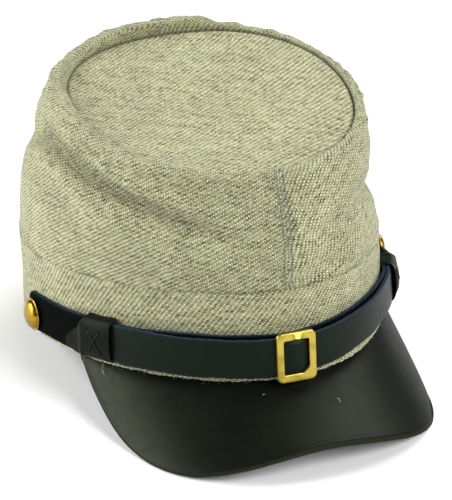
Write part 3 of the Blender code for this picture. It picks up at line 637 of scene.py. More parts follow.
def add_piece(name, shape, material, stands_for=(), marks=None, sharp=40, pressed=True):
    """A piece of the cap as a mesh object that rides on the frame. marks are its attributes."""
    points, faces = shape
    mesh = bpy.data.meshes.new(name)
    mesh.from_pydata(at_rest(points, pressed).tolist(), [], faces)
    mesh.shade_smooth()
    if sharp:
        mesh.set_sharp_from_angle(angle=math.radians(sharp))
    for title, values in (marks or {}).items():
        kind, field = ("FLOAT_VECTOR", "vector") if values.ndim == 2 else ("FLOAT", "value")
        layer = mesh.attributes.new(title, kind, "POINT")
        layer.data.foreach_set(field, values.astype(np.float32).ravel())
    mesh.materials.append(material)
    piece = bpy.data.objects.new(name, mesh)
    bpy.context.scene.collection.objects.link(piece)
    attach(piece, "root")
    if stands_for:
        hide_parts(*stands_for)


def add_cloth(name, surface, material, stands_for, wraps=False, capped=False):
    """A cloth piece, from its face, its back and the weave marks of its face."""
    outer, back, marks = surface
    points, faces, source = sheet(outer, back, wraps, capped)
    add_piece(name, (points, faces), material, [stands_for],
              {"weave": marks.reshape(-1, 3)[source]})


# ---------------------------------------------------------------- material expressions
class Value:
    """A number in a material. Arithmetic on it adds the Math nodes that work it out."""

    def __init__(self, finish, socket):
        self.finish, self.socket = finish, socket

    def __add__(self, other):
        return self.finish.worked("ADD", self, other)

    __radd__ = __add__

    def __sub__(self, other):
        return self.finish.worked("SUBTRACT", self, other)

    def __rsub__(self, other):
        return self.finish.worked("SUBTRACT", other, self)

    def __mul__(self, other):
        return self.finish.worked("MULTIPLY", self, other)

    __rmul__ = __mul__

    def __gt__(self, other):
        return self.finish.worked("GREATER_THAN", self, other)


class Finish:
    """A material and its nodes."""

    def __init__(self, name, **constants):
        self.material = bpy.data.materials.new(name)
        self.material.use_nodes = True
        self.tree = self.material.node_tree
        self.tree.nodes.clear()
        output = self.tree.nodes.new("ShaderNodeOutputMaterial")
        self.surface = self.tree.nodes.new("ShaderNodeBsdfPrincipled")
        self.tree.links.new(self.surface.outputs[0], output.inputs["Surface"])
        self.show(**constants)

    def show(self, **plugs):
        """Feeds sockets of the surface, named with underscores, such as Base_Color."""
        for title, value in plugs.items():
            self.feed(self.surface.inputs[title.replace("_", " ")], value)

    def feed(self, socket, value):
        if isinstance(value, Value):
            self.tree.links.new(value.socket, socket)
        elif hasattr(value, "__len__") and len(value) < len(socket.default_value):
            socket.default_value = (*value, 1.0)
        else:
            socket.default_value = value

    def node(self, kind, settings=None, plugs=None, out=0):
        """A node of a kind: its settings are set first, then its sockets are fed."""
        made = self.tree.nodes.new(kind)
        for title, value in (settings or {}).items():
            if title == "stops":
                while len(made.color_ramp.elements) < len(value):
                    made.color_ramp.elements.new(1.0)
                for element, (at, colour) in zip(made.color_ramp.elements, value):
                    element.position = at
                    element.color = (*colour, 1.0)
            else:
                setattr(made, title, value)
        for plug, value in (plugs or {}).items():
            self.feed(made.inputs[plug], value)
        return Value(self, made.outputs[out])

    def worked(self, operation, *terms):
        return self.node("ShaderNodeMath", {"operation": operation}, dict(enumerate(terms)))

    def mark(self, title, out):
        return self.node("ShaderNodeAttribute", {"attribute_name": title}, out=out)

    def parts(self, vector):
        first = self.node("ShaderNodeSeparateXYZ", None, {0: vector})
        return [Value(self, socket) for socket in first.socket.node.outputs]

    def joined(self, x=0.0, y=0.0, z=0.0):
        return self.node("ShaderNodeCombineXYZ", None, {0: x, 1: y, 2: z})

    def cosine(self, value):
        """1 to -1 and back over each whole number, highest at whole numbers."""
        return self.worked("COSINE", value * (2 * math.pi))

    def whole(self, value):
        return self.worked("FLOOR", value + 0.5)

    def smooth(self, value, low, high):
        return self.node("ShaderNodeMapRange", {"interpolation_type": "SMOOTHSTEP"},
                         {"Value": value, "From Min": low, "From Max": high})

    def noise(self, vector, scale, detail, roughness=0.5):
        """Noise of a scale, in bumps to a metre."""
        return self.node("ShaderNodeTexNoise", None,
                         {"Vector": vector, "Scale": scale, "Detail": detail,
                          "Roughness": roughness})

    def wandering(self, value, vector, scale, reach):
        """A number that wanders over the surface, by a reach in all."""
        return value + (self.noise(vector, scale, 1.0) - 0.5) * reach

    def streaks(self, across, along, turn, detail, roughness=0.5):
        """Noise that is drawn out along the yarns, where along is counted less than across."""
        return self.noise(self.joined(across, along, turn), 1.0, detail, roughness)

    def chance(self, x, y, z):
        return self.node("ShaderNodeTexWhiteNoise", {"noise_dimensions": "3D"},
                         {"Vector": self.joined(x, y, z)})

    def place(self, x=0.0, y=0.0, z=0.0):
        """Where a point of the surface is, shifted."""
        here = self.node("ShaderNodeTexCoord", out="Object")
        return self.node("ShaderNodeVectorMath", {"operation": "ADD"}, {0: here, 1: (x, y, z)})

    def blend(self, share, first, second):
        """A colour between two, by a share from 0 to 1."""
        return self.node("ShaderNodeMix", {"data_type": "RGBA"},
                         {0: share, 6: first, 7: second}, out=2)

    def shade(self, colour, by):
        return self.node("ShaderNodeVectorMath", {"operation": "SCALE"},
                         {0: colour, "Scale": by})

    def relief(self, height, distance):
        self.show(Normal=self.node("ShaderNodeBump", None,
                                   {"Height": height, "Distance": distance}))


# ---------------------------------------------------------------- properties
def length(title, text, default, high=0.1):
    return bpy.props.FloatProperty(name=title, description=text, default=default, min=0.0,
                                   max=high, unit="LENGTH", precision=5)


def tint(title, text, default):
    return bpy.props.FloatVectorProperty(name=title, description=text, default=default,
                                         size=3, min=0.0, max=1.0, subtype="COLOR")


class CapSizes(bpy.types.PropertyGroup):
    """Sizes of the cap's small features."""

    yarn_relief: length("Yarn relief", "Height of the yarns in the twill", 0.00018)
    rib_height: length("Rib height", "Height of the twill's diagonal ribs", 0.00004)
    seam_depth: length("Seam depth", "How deep a seam pulls the cloth in", 0.0004)
    stitch_length: length("Stitch length", "Length of one stitch of the topstitching", 0.0030)
    stitch_offset: length("Stitch offset", "From the crown's seams to each row of stitches",
                          0.0016)
    thread_radius: length("Thread radius", "Radius of the sewing thread", 0.00023)
    cross_radius: length("Cross stitch radius", "Radius of the keepers' thread", 0.00026)
    fray_length: length("Fray length", "Usual length of a fibre at the raw edge", 0.0018)
    fibre_radius: length("Fibre radius", "Radius of a loose fibre", 0.000045)
    leather_grain: length("Leather grain", "Size of a pebble of the leather's grain", 0.00055)
    grain_depth: length("Grain depth", "Depth of the leather's grain", 0.00003)
    strap_bulge: length("Strap bulge", "How far the strap stands out in the buckle", 0.0013)
    button_rim: length("Button rim", "Height of the rolled rim of a button", 0.0003)


class CapColours(bpy.types.PropertyGroup):
    """Colours of the cap's materials, and of the floor."""

    warp: tint("Warp", "Pale yarns of the twill", (0.63, 0.74, 0.60))
    warp_cream: tint("Cream warp", "Yellowest of the pale yarns", (0.54, 0.54, 0.33))
    weft: tint("Weft", "Middle colour of the dark yarns", (0.175, 0.155, 0.058))
    weft_dark: tint("Dark weft", "Darkest yarns", (0.062, 0.052, 0.017))
    weft_light: tint("Light weft", "Lightest of the dark yarns", (0.35, 0.325, 0.15))
    weft_grey: tint("Grey weft", "Greenish grey yarns", (0.195, 0.208, 0.110))
    fleck: tint("Fleck", "Stray coloured fibres", (0.36, 0.22, 0.06))
    thread: tint("Thread", "Topstitching thread", (0.145, 0.185, 0.18))
    fibre: tint("Fibre", "Loose fibres at the raw edge", (0.50, 0.53, 0.38))
    leather: tint("Leather", "Face of the black leather", (0.0035, 0.0045, 0.0032))
    strap_edge: tint("Strap edge", "Dyed cut edges of the strap", (0.016, 0.026, 0.038))
    peak_edge: tint("Peak edge", "Cut edge of the peak", (0.012, 0.014, 0.008))
    peak_sheen: tint("Peak sheen", "Colour of the peak's and keepers' sheen", (0.88, 1.0, 0.63))
    strap_sheen: tint("Strap sheen", "Colour of the strap's sheen", (0.66, 1.0, 0.73))
    cross_thread: tint("Cross stitch", "Thread of the keepers' cross stitches",
                       (0.004, 0.020, 0.019))
    brass: tint("Brass", "Gilt of the buckle", (0.46, 0.36, 0.061))
    gilt: tint("Gilt", "Darker gilt of the buttons", (0.38, 0.225, 0.019))
    tarnish: tint("Tarnish", "Worn places of the gilt", (0.27, 0.19, 0.03))
    floor: tint("Floor", "The floor", (0.93, 0.93, 0.93))


def sizes():
    return bpy.context.scene.cap_sizes


def colours():
    return bpy.context.scene.cap_colours


# ---------------------------------------------------------------- materials
def cloth(name, seed, pale=1.0, cream=0.7):
    """Twill of pale warp and heathered wool weft, read from the piece's weave coordinates.

    The weave mark holds two counts that are whole where a warp yarn shows, of which the second
    numbers the twill's lines, and a third number: above 0, up to 1, how raw the cloth is;
    below 0, down to -1, how dark it is painted in shade by seams, round the top and in folds.
    cream is the share of creamier yarns in the warp.
    """
    hues = colours()
    finish = Finish(name, Sheen_Weight=0.12, Sheen_Roughness=0.5, Specular_IOR_Level=0.25)
    across, lines, edge = finish.parts(finish.mark("weave", "Vector"))
    # sunk is painted shade: darkening by the seams, round the top and in the fold valleys
    raw, sunk = finish.worked("MAXIMUM", edge, 0.0), finish.worked("MINIMUM", edge, 0.0)
    shift = np.array([0.37, 0.11, 0.23]) * seed
    place, aside = finish.place(*shift), finish.place(*(shift + (0.5, 0.2, 0.9)))

    # The yarns wander, and are numbered along the weft's picks and across the warp
    across = finish.wandering(across, place, 210.0, 0.70)
    across = finish.wandering(across, aside, 640.0, 0.42)
    lines = finish.wandering(lines, aside, 170.0, 0.45)
    lines = finish.wandering(lines, place, 560.0, 0.34)
    picks, warps = across - lines * 2.0, across + lines
    pick_number, warp_number = finish.whole(picks), finish.whole(warps)
    luck = finish.chance(finish.whole(across), finish.whole(lines), seed)
    odd = finish.chance(pick_number, warp_number, seed + 9.0)

    # A dot of warp shows at each crossing, on ridges of weft
    lattice = (finish.cosine(lines) * 0.46 + finish.cosine(across - lines) * 0.30
               + finish.cosine(across) * 0.24)
    dots = finish.smooth(lattice, -0.20, 0.70) * (luck * 0.55 + 0.55)
    ridge = finish.cosine(picks) * 0.5 + 0.5

    # Each pick is heathered along its length, and single places of it are coloured flecks
    heather = finish.streaks(pick_number * 1.37, warps * 0.10, seed, 3.0, 0.6)
    weft = finish.node("ShaderNodeValToRGB", {"stops": (
        (0.28, hues.weft_dark), (0.43, hues.weft), (0.56, hues.weft_light),
        (0.66, hues.weft_grey), (0.76, hues.weft))}, {0: heather + (odd - 0.5) * 0.10})
    weft = finish.blend((odd > 0.998) * 0.8, weft, hues.fleck)
    # Painted shade and light on the weft: darker between picks and lighter along their crowns
    # (ridge); odd varies it at random between crossings
    weft = finish.shade(weft, (ridge * 0.35 + 0.80) * (odd * 0.3 + 0.87))
    creamy = finish.streaks(warp_number * 2.1, picks * 0.07, seed + 5.0, 2.0)
    warp = finish.shade(finish.blend(creamy * cream, hues.warp, hues.warp_cream),
                        0.72 + creamy * 0.40 + luck * 0.14)

    # Clouds and smears over many yarns, and thick dark lengths of single ones
    cloud = finish.noise(place, 38.0, 3.0, 0.6)
    smear = finish.streaks(picks * 0.27, warps * 0.022, seed + 3.0, 3.0, 0.65)
    slub = finish.smooth(finish.streaks(picks * 0.9, warps * 0.09, seed + 7.0, 1.0), 0.74, 0.84)
    thick = finish.chance(pick_number, finish.whole(warps * 0.6), seed + 2.0)
    level = (cloud - 0.5) * 0.40 + (smear - 0.5) * 0.60 + 1.0
    level = level * (1.0 - slub * 0.42) * (1.0 - finish.smooth(thick, 0.975, 0.985) * 0.15)
    # The woven colour is darkened here by the painted shade in sunk
    woven = finish.shade(finish.blend(dots, weft, warp), level * pale * (sunk * 0.6 + 1.0))
    frayed = finish.shade(hues.fibre, 0.40 + odd * 0.45 + dots * 0.85)
    fuzz = finish.noise(place, 2600.0, 2.0)
    finish.show(Base_Color=finish.blend(raw * 0.55, woven, frayed), Roughness=0.82 + fuzz * 0.14)
    finish.relief(dots * 0.8 + ridge * (1 - dots) * 0.40 + fuzz * 0.22, sizes().yarn_relief)
    return finish.material


def leather(name, seed, shine, dullness, edge, gloss, tone=1.0):
    """Black leather: a satin grained face, and dull dyed fibres where the raw mark is 1.

    gloss is the colour of its sheen.
    """
    finish = Finish(name, Specular_IOR_Level=shine, Specular_Tint=gloss)
    raw = finish.mark("raw", "Fac")
    shift = np.array([0.31, 0.17, 0.29]) * seed
    place = finish.place(*shift)
    pebble = finish.node("ShaderNodeTexVoronoi", {"feature": "SMOOTH_F1"},
                         {"Vector": place, "Scale": 1.0 / sizes().leather_grain,
                          "Smoothness": 0.6})
    fine = finish.noise(place, 3800.0, 2.0)
    cloud = finish.noise(place, 55.0, 3.0, 0.6)
    scuff = finish.noise(finish.place(*(shift + (0.4, 0.1, 0.7))), 420.0, 4.0, 0.7)
    face = finish.shade(colours().leather, (0.4 + cloud * 0.6 + scuff * 0.8) * tone)
    fibres = finish.shade(edge, 0.35 + fine + scuff * 0.6)
    roughness = finish.smooth(raw, 0.0, 1.0) * (0.9 - dullness) + dullness
    finish.show(Base_Color=finish.blend(raw, face, fibres),
                Roughness=roughness + (scuff - 0.5) * 0.26 + (cloud - 0.5) * 0.16)
    finish.relief(pebble * 0.6 + fine * 0.4 + raw * fine * 5.0, sizes().grain_depth)
    return finish.material


def brass(name, seed, tone, roughness, dents):
    """Gilt brass with fine scratches, shallow dents and tarnish in its worn places."""
    finish = Finish(name, Metallic=1.0)
    place = finish.place(*(np.array([0.41, 0.13, 0.27]) * seed))
    blotch = finish.noise(place, 170.0, 4.0, 0.6)
    drawn = finish.node("ShaderNodeMapping", None,
                        {"Vector": place, "Scale": (900.0, 900.0, 90.0)})
    scratch = finish.noise(drawn, 4.0, 2.0)
    worn = finish.smooth(blotch, 0.46, 0.74)
    finish.show(Base_Color=finish.blend(worn * 0.6, tone, colours().tarnish),
                Roughness=roughness + worn * 0.16 + scratch * 0.08)
    finish.relief(blotch * 0.6 + scratch * 0.4, dents)
    return finish.material


def yarn(name, colour, roughness=0.85):
    """Thread or loose fibre: one hue, uneven along it."""
    finish = Finish(name, Specular_IOR_Level=0.12)
    patch = finish.noise(finish.place(), 900.0, 2.0)
    finish.show(Base_Color=finish.shade(colour, 0.55 + patch * 0.9),
                Roughness=roughness - patch * 0.1)
    return finish.material


# ---------------------------------------------------------------- cloth pieces
def twill_phases(along, up, low, high=None, turned=1.0):
    """Warp yarns and twill lines passed at each place, from a twill's cycles per millimetre.

    The twill turns from low to high between the heights of LEFT_TWILL_TURN, by a share, turned.
    """
    heights = np.linspace(0, 0.2, 2001)
    first, last = LEFT_TWILL_TURN
    share = ease((heights - first) / (last - first))
    far = np.concatenate([[0.0], np.cumsum((share[1:] + share[:-1]) / 2 * np.diff(heights))])
    far = np.interp(up, heights, far) * turned
    phases = []
    for which in (1, 0):
        run, rise = low[which]
        bend = (high or low)[which][1] - rise
        phases.append(1000 * (run * along + rise * up + bend * far))
    return phases


def seam_dip(distance, depth):
    """How a seam shapes cloth: a groove at the seam and a low ridge of turned-in cloth."""
    ridge = SEAM_RIDGE / (1 + np.exp((distance - SEAM_RIDGE_END) / SEAM_GROOVE))
    return ridge - depth * bell(distance, SEAM_GROOVE)


def crown_cloth(start, end):
    """A crown panel's plain surface: its grid, each column's azimuth, each row's place, and
    how high each point of the rim's inner side is above the recessed top.
    """
    azimuth = np.radians(start + (end - start) * spread(*PANEL_COLUMNS))
    shares = spread(*PANEL_ROWS)
    wall = crown_point(azimuth[None], shares[:, None])
    turns = np.linspace(0, 180, ROLL_ROWS + 1)[1:]
    out, rise = rim_section(azimuth[None], turns[:, None], RIM_SQUARE)
    roll = top_point(azimuth[None] + 0 * out, 1.0, out, rise)
    drop = np.linspace(0, 1, FOOT_ROWS + 1)[1:, None]
    sunk = rise[-1:] * (1 - drop) - RIM_DEPTH * drop
    foot = top_point(azimuth[None] + 0 * sunk, 1.0, GAP / 2, sunk)
    grid = np.concatenate([wall, roll, foot])
    middle = math.radians((start + end) / 2)
    grid[:, (0, -1)] += GAP / 8 * np.array([math.cos(middle), math.sin(middle), 0.0])
    rolled = np.concatenate([0 * shares, turns, np.full(FOOT_ROWS, 180.0)])
    up = np.concatenate([shares, np.ones(ROLL_ROWS + FOOT_ROWS)])
    above = np.concatenate([np.ones(wall.shape[:2]), rise, sunk])
    above[rolled < 90] = 1.0
    return grid, azimuth, up, rolled, above


def panel_grid(start, end, twill, high, reference, seed):
    """A crown panel with its wrinkles, seams and ribs, its back, and its weave marks."""
    grid, azimuth, shares, rolled, above = crown_cloth(start, end)
    outward = normals(grid)
    along, up = step_lengths(grid, 1), step_lengths(grid, 0)
    from_seam = np.minimum(along, along[:, -1:] - along)
    centre = np.argmin(np.abs(azimuth - math.radians(reference)))
    first, last = LEFT_TWILL_AZIMUTHS
    forward = ease((np.degrees(azimuth) - first) / (last - first))
    warp, lines = twill_phases(along - along[:, centre:centre + 1], up, twill, high, forward)

    size = sizes()
    tall = np.broadcast_to(shares[:, None], along.shape)
    wide = np.broadcast_to(azimuth, along.shape)
    fade = np.clip((160 - rolled) / 60, 0, 1)[:, None]
    folds = fold_depth(wide, tall, up[-1].mean() - ROLL_LENGTH, CREASES, CREASE_STEPS)
    upright = grid * np.array([1, 1, 0.2])
    lift = folds + uneven(grid, seed, *PANEL_RIPPLES)
    lift += bell(up, BAND_PUCKERS_REACH) * uneven(upright, seed + 2, BAND_PUCKERS)
    from_rim = (1 - tall) * WALL_HEIGHT
    lift += bell(from_rim, RIM_PUCKERS_REACH) * uneven(upright, seed + 6, RIM_PUCKERS)
    lift += size.rib_height * np.cos(2 * np.pi * lines) * (0.6 + 0.4 * ripples(grid, 0.003, 3))
    lift += uneven(grid, seed + 4, FUZZ)
    lift *= fade * (1 - SIDE_SEAM_HOLD * bell(from_seam, SIDE_SEAM_REACH))
    lift += seam_dip(from_seam, size.seam_depth * SIDE_SEAM_DEPTH) * fade
    pull = most_at(azimuth, *SEAM_PULL)
    lift += seam_dip(up, size.seam_depth * pull)

    # Painted shade in the cloth's colour: by the crown's two seams, above the band's seam, round
    # the top's corner, and in the valleys of the creases
    sunk = shadow(from_seam, *SIDE_SHADOW) + pull * shadow(up, *CROWN_SHADOW)
    sunk += shadow(np.maximum(above, 0), *RIM_SHADOW)
    sunk += FOLD_SHADE * fade * np.clip(-folds / FOLD_SHADE_DEPTH, -0.5, 1)
    outer = grid + lift[..., None] * outward
    outer[0, :, 2] -= 0.8 * GAP
    back = grid - CLOTH * outward
    back[0] = band_point(azimuth, seam_height(azimuth) + GAP, -CLOTH)
    return outer, back, np.stack([warp, lines, -np.clip(sunk, 0, 1)], -1)


PANELS = {
    # side: first and last azimuth, twill low and high on it, the azimuth that its warp is
    # counted from, seed
    "left": (-90, 90, LEFT_TWILL, LEFT_TWILL_HIGH, -76, 11),
    "right": (90, 270, RIGHT_TWILL, None, 236, 23),
}
made_grids = {}  # each panel is made once, for its piece and for its stitches


def panel_of(side):
    if side not in made_grids:
        made_grids[side] = panel_grid(*PANELS[side])
    return made_grids[side]


def stitches(line, out, length_of, radius):
    """A row of stitches on a line over the cloth: arches of thread. out is outward there."""
    run = step_lengths(line, 0)
    arch = np.sin(np.linspace(0, np.pi, 7)) ** 0.6
    parts = []
    at = 0.0006
    while at + length_of < run[-1]:
        where = np.linspace(at, at + length_of * 0.86, 7)
        rise = (arch * radius * 1.5 - radius * 0.5)[:, None]
        path = read_at(line, run, where) + read_at(out, run, where) * rise
        parts.append(strand(path, radius, 5))
        at += length_of
    return parts


def seam_rows():
    """Two rows of stitches beside the front seam and beside the back seam."""
    size = sizes()
    parts = []
    for side, at_end in (("left", False), ("right", True), ("left", True), ("right", False)):
        outer = panel_of(side)[0]
        surface = np.concatenate([outer, normals(outer)], -1)
        line = []
        for row in surface[slice(*STITCHED_ROWS)]:
            run = step_lengths(row[:, :3], 0)
            at = run[-1] - size.stitch_offset if at_end else size.stitch_offset
            line.append(read_at(row, run, at))
        line = np.array(line)
        parts += stitches(line[:, :3], line[:, 3:], size.stitch_length, size.thread_radius)
    return gathered(parts)


def top_grid():
    """The recessed top's surface with its sag and unevenness, its back, and its weave marks."""
    azimuth = np.radians(np.linspace(-90, 270, TOP_COLUMNS, endpoint=False))
    shares = 1 - spread(*TOP_ROWS)[:, None] * (1 - TOP_MIDDLE)
    place, rise, reach, inward = TOP_DRAWN
    drawn = rise * bell(np.degrees(azimuth) - place, reach)
    flat = top_point(azimuth[None], shares, 0.0, 0.0)
    level = drawn * bell(1 - shares, inward) - TOP_SAG * (1 - shares ** 2)
    grid = top_point(azimuth[None], shares, 0.0, level)
    grid[0] = top_point(azimuth, 1.0, -GAP / 2, drawn)
    outward = normals(grid, wraps=True)
    along = flat[..., 0]
    up = (flat[..., 1] - TOP_CENTRE[1]) / math.cos(math.radians(TOP_TILT))
    warp, lines = twill_phases(along, TOP_COUNT_FROM + up, TOP_TWILL)
    lines -= (TOP_SPREAD[0] * along + TOP_SPREAD[1] * up) * along * 1e6
    edge = (1 - shares) * TOP_HALF_WIDTH
    lift = uneven(grid, TOP_SEED, *TOP_RIPPLES, FUZZ)
    lift += sizes().rib_height * 0.8 * np.cos(2 * np.pi * lines)
    lift *= 1 - bell(edge, TOP_EDGE_HOLD)
    lift -= TOP_EDGE_TUCK * bell(edge, TOP_EDGE_TUCK_REACH)
    outer = grid + lift[..., None] * outward
    back = grid - CLOTH * outward
    back[0] = top_point(azimuth, 1.0, -GAP / 2, drawn - CLOTH)
    # Painted shade round the top's edge, where the rim meets it
    sunk = np.broadcast_to(shadow(edge, *TOP_SHADOW), warp.shape)
    return outer, back, np.stack([warp, lines, -sunk], -1)


def band_grid():
    """The band's surface with its turned-in top edge and raw lower edge, its back and marks."""
    azimuth = np.radians(np.linspace(90, 450, BAND_COLUMNS, endpoint=False))
    low, high = edge_height(azimuth) + edge_lift(azimuth), seam_height(azimuth)
    grid = band_point(azimuth[None], low + (high - low) * spread(*BAND_ROWS)[:, None])
    outward = normals(grid, wraps=True)
    along, up = step_lengths(grid, 1), step_lengths(grid, 0)
    down = up[-1:] - up
    warp, lines = twill_phases(along, up, BAND_TWILL)
    size = sizes()
    pull = most_at(azimuth, *SEAM_PULL)
    raw = bell(up, 0.0008)
    turned = np.degrees(azimuth) % 360 - 270
    flare = sum(out * bell(turned - middle, reach, power)
                for out, middle, reach, power in EDGE_FLARES)
    lift = uneven(grid, BAND_SEED, *BAND_RIPPLES)
    lift += size.rib_height * np.cos(2 * np.pi * lines) * 0.9
    lift += seam_dip(down, size.seam_depth * pull) + flare * bell(up, 0.0030) - 0.0003 * raw
    outer = grid + lift[..., None] * outward
    outer[..., 2] += raw * uneven(grid, BAND_SEED + 2, RAW_EDGE)
    back = grid - BAND_CLOTH * outward
    back[..., 2] = grid[..., 2]
    # The third mark is the raw edge, less the painted shade below the band's seam
    return outer, back, np.stack([warp, lines, raw - pull * shadow(down, *BAND_SHADOW)], -1)


def loose_fibres(count, start, end, seed, longest, spread_out):
    """Short fibres that stand from the band's raw lower edge between two azimuths."""
    draw = np.random.default_rng(seed)
    size = sizes()
    t = np.linspace(0, 1, 5)[:, None]
    parts = []
    for _ in range(count):
        azimuth = math.radians(draw.uniform(start, end))
        height = edge_height(azimuth) + edge_lift(azimuth) + draw.uniform(-0.0002, 0.0009)
        place, along, up, outward = local_frame(azimuth, height,
                                                draw.uniform(-BAND_CLOTH * 0.6, 0.0001))
        reach = size.fray_length * min(draw.exponential(0.55) + 0.18, longest)
        lean = unit(outward * draw.uniform(0.2, 1.0) * spread_out
                    - up * draw.uniform(-0.1, 0.8) + along * draw.normal(0, 0.8))
        curl = draw.normal(0, 0.5, 3)
        path = place + reach * (t * lean + t * t * curl * 0.7)
        parts.append(strand(path, (size.fibre_radius, size.fibre_radius * 0.5), 3))
    return gathered(parts)


# ---------------------------------------------------------------- leather pieces
def band_front(x):
    """Where the band's lower edge stands at a place across the front: y and azimuth."""
    azimuth = np.radians(np.linspace(-175, -5, 681))
    edge = band_point(azimuth, edge_height(azimuth))
    return np.interp(x, edge[:, 0], edge[:, 1]), np.interp(x, edge[:, 0], azimuth)


def lint(radius):
    """Fibres and specks that lie on the peak and hang at the band's edge."""
    t = np.linspace(0, 1, 9)[:, None]
    return gathered([strand(curve(*np.array(line), t), radius, 5) for line in LINT])


def peak_outline(count):
    """Plan of the peak's free edge, from the wearer's right end round the front to the left."""
    turn = np.radians(np.linspace(-90, 90, 721))
    power = 2 / (PEAK_CORNER_POWER + PEAK_LEFT_SQUARE * (turn > 0))
    forward = np.abs(np.cos(turn)) ** power
    half = PEAK_HALF_WIDTH + (PEAK_FRONT_HALF_WIDTH - PEAK_HALF_WIDTH) * forward
    x = PEAK_SHIFT + half * np.sign(turn) * np.abs(np.sin(turn)) ** power
    x -= PEAK_LEFT_TAPER * (turn > 0) * (1 - forward) ** 2
    y = -PEAK_SHOULDER - (PEAK_FRONT - PEAK_SHOULDER - PEAK_SKEW * x) * forward
    end = np.arcsin(-PEAK_ROOT / BAND_HALF_LENGTH)
    root = np.stack(oval(np.array([np.pi - end, end]), BAND_HALF_WIDTH, BAND_HALF_LENGTH), -1)
    return evenly(np.concatenate([root[:1], np.stack([x, y], -1), root[1:]]), count)


def peak_shape():
    """The peak: its face, its cut edge and its back in one skin, and how raw each point is."""
    free = peak_outline(PEAK_COLUMNS)
    ends = band_front(free[(0, -1), 0])[1]
    across = np.linspace(*ends, PEAK_COLUMNS)
    root = band_point(across, edge_height(across), -PEAK_TUCK)[:, :2]
    shares = spread(*PEAK_ROWS)[:, None]
    plan = free + (root - free) * shares[..., None]
    y, azimuth = band_front(plan[..., 0])
    reach = np.maximum(y - plan[..., 1], 0.0)
    aside = (plan[..., 0] - PEAK_SHIFT) / BAND_HALF_WIDTH
    slope = PEAK_SLOPE + PEAK_SIDE_SLOPE * aside ** 2 + PEAK_TWIST * aside
    drawn = edge_lift(azimuth) * bell(reach, 0.020)
    height = edge_height(azimuth) + drawn - GAP - reach * slope
    face = np.concatenate([plan, height[..., None]], -1)
    outward = normals(face)
    outward[:, :6], outward[:, -6:] = outward[:, 6:7], outward[:, -7:-6]
    back = face - PEAK_LEATHER * outward

    from_edge = step_lengths(face, 0)
    lift = uneven(face, PEAK_SEED, *PEAK_RIPPLES) * np.clip((1 - shares) * 6, 0, 1)
    lift -= PEAK_BURNISH * bell(from_edge, 0.0009)
    lift -= PEAK_GROOVE * bell(from_edge - PEAK_GROOVE_IN, 0.0006)
    face = face + lift[..., None] * outward
    step = np.gradient(free, axis=0)
    sideways = unit(np.stack([-step[:, 1], step[:, 0]], -1))
    frayed = uneven(face[0], PEAK_SEED + 2, PEAK_FRAY)
    cut = []
    for depth, bulge in PEAK_CUT:
        level = face[0] * (1 - depth) + back[0] * depth
        level[:, :2] -= sideways * (bulge * PEAK_BULGE + frayed * (0.4 + depth))[:, None]
        cut.append(level)
    under = back[::PEAK_BACK_STEP]
    rings = np.concatenate([face[::-1], cut, under])
    raw = np.concatenate([0.5 * bell(from_edge[::-1], 0.0006), np.ones((len(cut), PEAK_COLUMNS)),
                          np.full((len(under), PEAK_COLUMNS), 0.75)])
    return loops(rings.transpose(1, 0, 2)), raw.T.ravel()


def leather_section(half, thick, crown, corner, steps):
    """Section of a strip of leather: (across, depth, rawness) points round it, from its back.

    steps is how many points its face has between the rounded corners.
    """
    flat = half - corner
    face = [(share * flat, thick + crown * (1 - share ** 2), 0.0)
            for share in np.linspace(-1, 1, steps + 2)[1:-1]]
    flesh = [(share * flat, 0.0, 0.6) for share in np.linspace(1, -1, 5)[1:-1]]
    edges = [(half, thick / 2, 1.0)], [(-half, thick / 2, 1.0)]
    points = []
    corners = ((-1, 1, face), (1, 1, edges[0]), (1, -1, flesh), (-1, -1, edges[1]))
    for number, (side, front, after) in enumerate(corners):
        for angle in np.pi * (1 - number / 2) - np.linspace(0, np.pi / 2, 5):
            depth = (thick - corner if front > 0 else corner) + corner * math.sin(angle)
            raw = 0.15 if abs(math.sin(angle)) > 0.95 else 1.0
            points.append((side * flat + corner * math.cos(angle), depth, raw))
        points += after
    return np.array(points)


